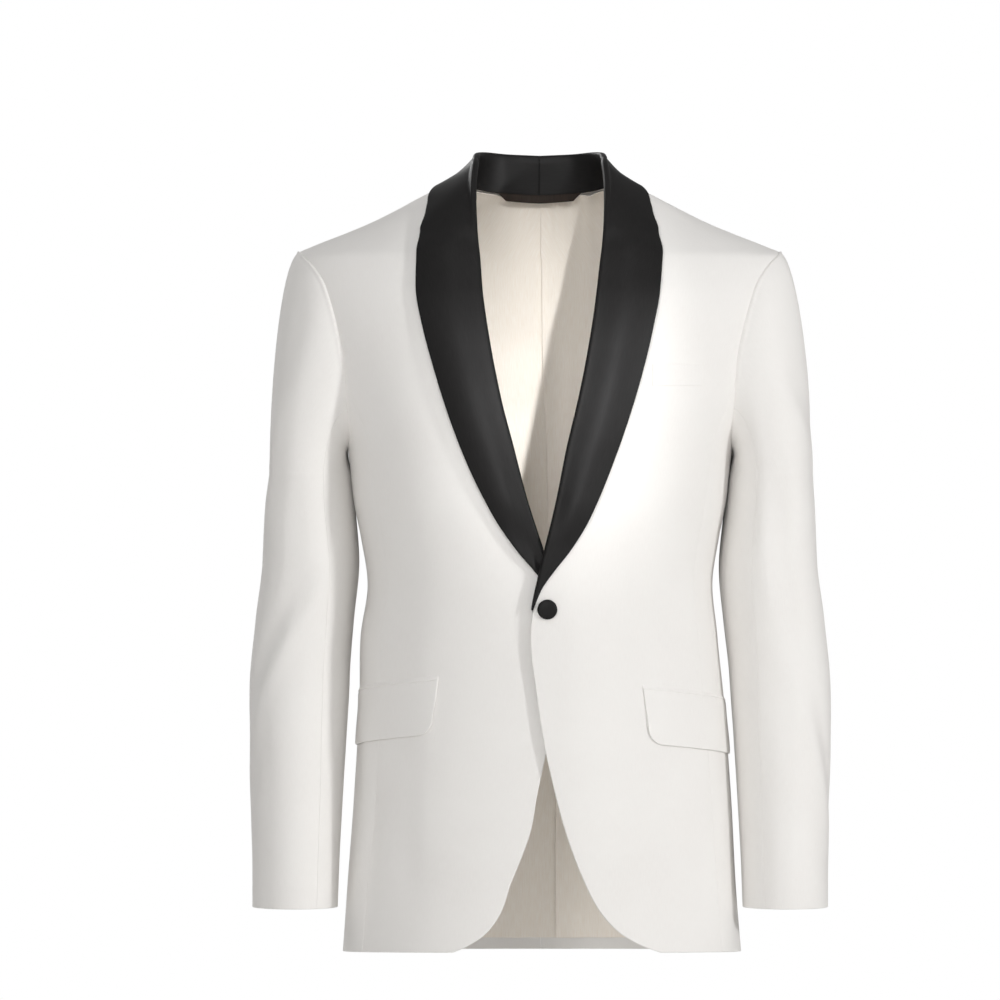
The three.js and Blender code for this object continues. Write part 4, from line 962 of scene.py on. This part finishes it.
for side, hand, top, start, slant in ((1, "left", -486, 102, 3), (-1, "right", -477, 100, 6)):
    distance = shares(FLAP_LENGTH, 60)[0] * FLAP_LENGTH
    corner = FLAP_CORNER - np.minimum(np.minimum(distance, FLAP_LENGTH - distance), FLAP_CORNER)
    cut = FLAP_CORNER - np.sqrt(FLAP_CORNER ** 2 - corner ** 2)
    down = shares(FLAP_HEIGHT, 16)[0][:, None]
    mouth = top - FLAP_SLOPE * distance
    z = mouth + FLAP_TUCK + (cut - FLAP_HEIGHT - FLAP_TUCK) * down
    leaning = distance + slant * down * (1 - distance / FLAP_LENGTH)
    turn = pocket_turns(side, start, top - FLAP_HEIGHT / 2, leaning)
    out = FLAP_TOP_RISE + (FLAP - FLAP_TOP_RISE) * ease(*FLAP_LEAVES, down)
    out = out + FLAP_STANDS_OFF * ease(*FLAP_SPRINGS, down)
    piece = body_panel("pocket_flap_" + hand + "_cloth", side, (turn, z), POCKET_MIDDLE, (), FLAP, out)
    dress(piece, "pocket_flap_" + hand)
    down = shares(JET_HEIGHT, 4)[0][:, None]
    z = mouth + JET_HEIGHT * (1 - down)
    turn = pocket_turns(side, start, top - FLAP_HEIGHT / 2, distance + 0 * down)
    out = JET_TOP_RISE + JET_SWELL * ease(0, 1, down)
    piece = body_panel("pocket_jet_" + hand + "_cloth", side, (turn, z), POCKET_MIDDLE, ("bottom",),
                       TRIM, out)
    dress(piece, "pocket_jet_" + hand)

# The breast pocket has a straight welt, a folded strip of suiting sewn down at both ends.
WELT_FROM, WELT_TO, WELT_BOTTOM, WELT_HEIGHT, WELT_SLOPE, WELT_RISE = 110, 160, -188, 22, 0.01, 0.7
x = (WELT_FROM + (WELT_TO - WELT_FROM) * shares(68, 24)[0])[None]
up = shares(WELT_HEIGHT, 8)[0][:, None]
z = WELT_BOTTOM + WELT_HEIGHT * up + WELT_SLOPE * (x - WELT_FROM)
piece = body_panel("breast_welt_cloth", 1, (turn_at(1, x, z), z), POCKET_MIDDLE, (), TRIM, WELT_RISE)
dress(piece, "breast_welt")

# One button closes the front. It is a domed mould covered in the collar's satin, drawn tight at the
# back, so its edge is round and its face nearly flat.
BUTTON_X, BUTTON_Z, BUTTON_RADIUS, BUTTON_HEIGHT, BUTTON_GAP = 6.3, -407, 9.8, 4.2, 0.3
RINGS, HALF_RING = 36, 32
button_profile = table(
    "share radius height",
    (0, 0.02, 0),
    (0.2, 0.62, 0),
    (0.34, 0.94, 0.18),
    (0.44, 1, 0.42),
    (0.55, 0.93, 0.68),
    (0.68, 0.74, 0.87),
    (0.84, 0.4, 0.98),
    (1, 0.004, 1),
)
turn, z = np.array([turn_at(1, BUTTON_X, BUTTON_Z)]), np.array([BUTTON_Z])
centre = coat_point(1, turn, z, BUTTON_GAP)[0]
out = body_normal(1, turn, z)[0]
right = unit(np.cross(out, [0, 0, 1]))
upward = np.cross(out, right)
share, angle = np.linspace(0, 1, RINGS)[:, None], np.linspace(0, 2 * math.pi, 2 * HALF_RING + 1)[None, :-1]
radius = BUTTON_RADIUS * button_profile["radius"](share)
flat_x, flat_y = radius * np.cos(angle), radius * np.sin(angle)
height = BUTTON_HEIGHT * button_profile["height"](share) + 0 * angle
points = centre + flat_x[..., None] * right + flat_y[..., None] * upward + height[..., None] * out
number = np.arange(RINGS * 2 * HALF_RING).reshape(RINGS, -1)
wrapped = np.concatenate([number, number[:, :1]], axis=1)
faces = np.concatenate([strip(wrapped[i], wrapped[i + 1]) for i in range(len(wrapped) - 1)])
foot, face = [strip(ring[:HALF_RING], ring[:HALF_RING - 1:-1]) for ring in (number[0], number[-1])]
faces = np.concatenate([faces, foot[:, ::-1], face])
uv = np.stack([flat_x, flat_y], axis=-1).reshape(-1, 2)
piece = mesh_object("front_button_satin", points.reshape(-1, 3), faces, uv, black_satin)
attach(piece, "root")
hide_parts("front_button")

# The studio, in metres: a pale paper floor where a wearer would stand, and a plain white surround that
# only the camera sees. Even light comes from all round. A small lamp at the wearer's left throws the
# shadows beside the lapels and the closing edge, and large ones fill in from front, top and back.
FLOOR_Z, FLOOR_RADIUS, DOME_RADIUS = -1.45, 8, 60
ROUND_LIGHT, LIT_PLACE = 0.29, (0, 0, -0.35)


def plain_material(name, colour, kind, inputs):
    """A one-shader material in one colour."""
    material, tree = new_material(name)
    colour_input = "Color" if kind == "ShaderNodeEmission" else "Base Color"
    shader = add(tree, kind, {}, {**inputs, colour_input: linear(colour)})
    add(tree, "ShaderNodeOutputMaterial", {}, {"Surface": (shader, 0)})
    return material


# Matt paper under the jacket, and a surround that is evenly white.
paper = plain_material("pale_paper_floor", "#f4f3f1", "ShaderNodeBsdfPrincipled", {"Roughness": 0.9})
bpy.ops.mesh.primitive_circle_add(vertices=96, radius=FLOOR_RADIUS, fill_type="NGON",
                                  location=(0, 0, FLOOR_Z))
floor = bpy.context.object
floor.name = "floor"
floor.data.materials.append(paper)
white = plain_material("white_surround", "#ffffff", "ShaderNodeEmission", {"Strength": 1.0})
bpy.ops.mesh.primitive_uv_sphere_add(segments=48, ring_count=24, radius=DOME_RADIUS)
dome = bpy.context.object
dome.name = "surround"
dome.data.materials.append(white)
dome.visible_diffuse = dome.visible_glossy = dome.visible_transmission = dome.visible_shadow = False

world = bpy.data.worlds.new("studio_light")
bpy.context.scene.world = world
world.use_nodes = True
for socket, value in (("Color", linear("#fdfcfb")), ("Strength", ROUND_LIGHT)):
    world.node_tree.nodes["Background"].inputs[socket].default_value = value


def place_light(lamp, place, target, scale=(1, 1, 1)):
    """Puts a lamp at a place, turned towards a target."""
    holder = bpy.data.objects.new(lamp.name, lamp)
    holder.location, holder.scale = place, scale
    holder.rotation_euler = (Vector(target) - Vector(place)).to_track_quat("-Z", "Y").to_euler()
    bpy.context.scene.collection.objects.link(holder)


for name, place, size, watts in (
    ("key", (3.6, -2.53, 0.59), 0.35, 72),
    ("front_fill", (-0.9, -4.25, 0.82), 1.2, 58),
    ("back_light", (-2, 3.6, 1.9), 0.8, 46),
    ("top_fill", (0, -1.54, 3.88), 1.2, 14),
):
    lamp = bpy.data.lights.new(name, "AREA")
    lamp.shape, lamp.size, lamp.energy = "SQUARE", size, watts
    place_light(lamp, place, LIT_PLACE)

# A narrow soft beam through the neck opening shows the lining inside. It is taller than it is wide.
BEAM_ANGLE, BEAM_SHAPE = 3.4 * RAD, (0.55, 1.8, 1)
beam = bpy.data.lights.new("lining_beam", "SPOT")
beam.energy, beam.spot_size, beam.spot_blend, beam.shadow_soft_size = 1020, BEAM_ANGLE, 0.8, 0.1
place_light(beam, (0.91, -4.27, 0.97), (-0.01, 0, -0.17), BEAM_SHAPE)

# The camera stands level with the waist, seven metres away with a long lens, straight in front.
camera_data = bpy.data.cameras.new("camera")
camera_data.lens, camera_data.sensor_width = 252, 36
camera = bpy.data.objects.new("camera", camera_data)
camera.location, camera.rotation_euler = (-0.04, -7, -0.3), (math.pi / 2, 0, 0)
camera_data.clip_end = 200
bpy.context.scene.collection.objects.link(camera)
bpy.context.scene.camera = camera
bpy.context.scene.view_settings.view_transform = "Standard"
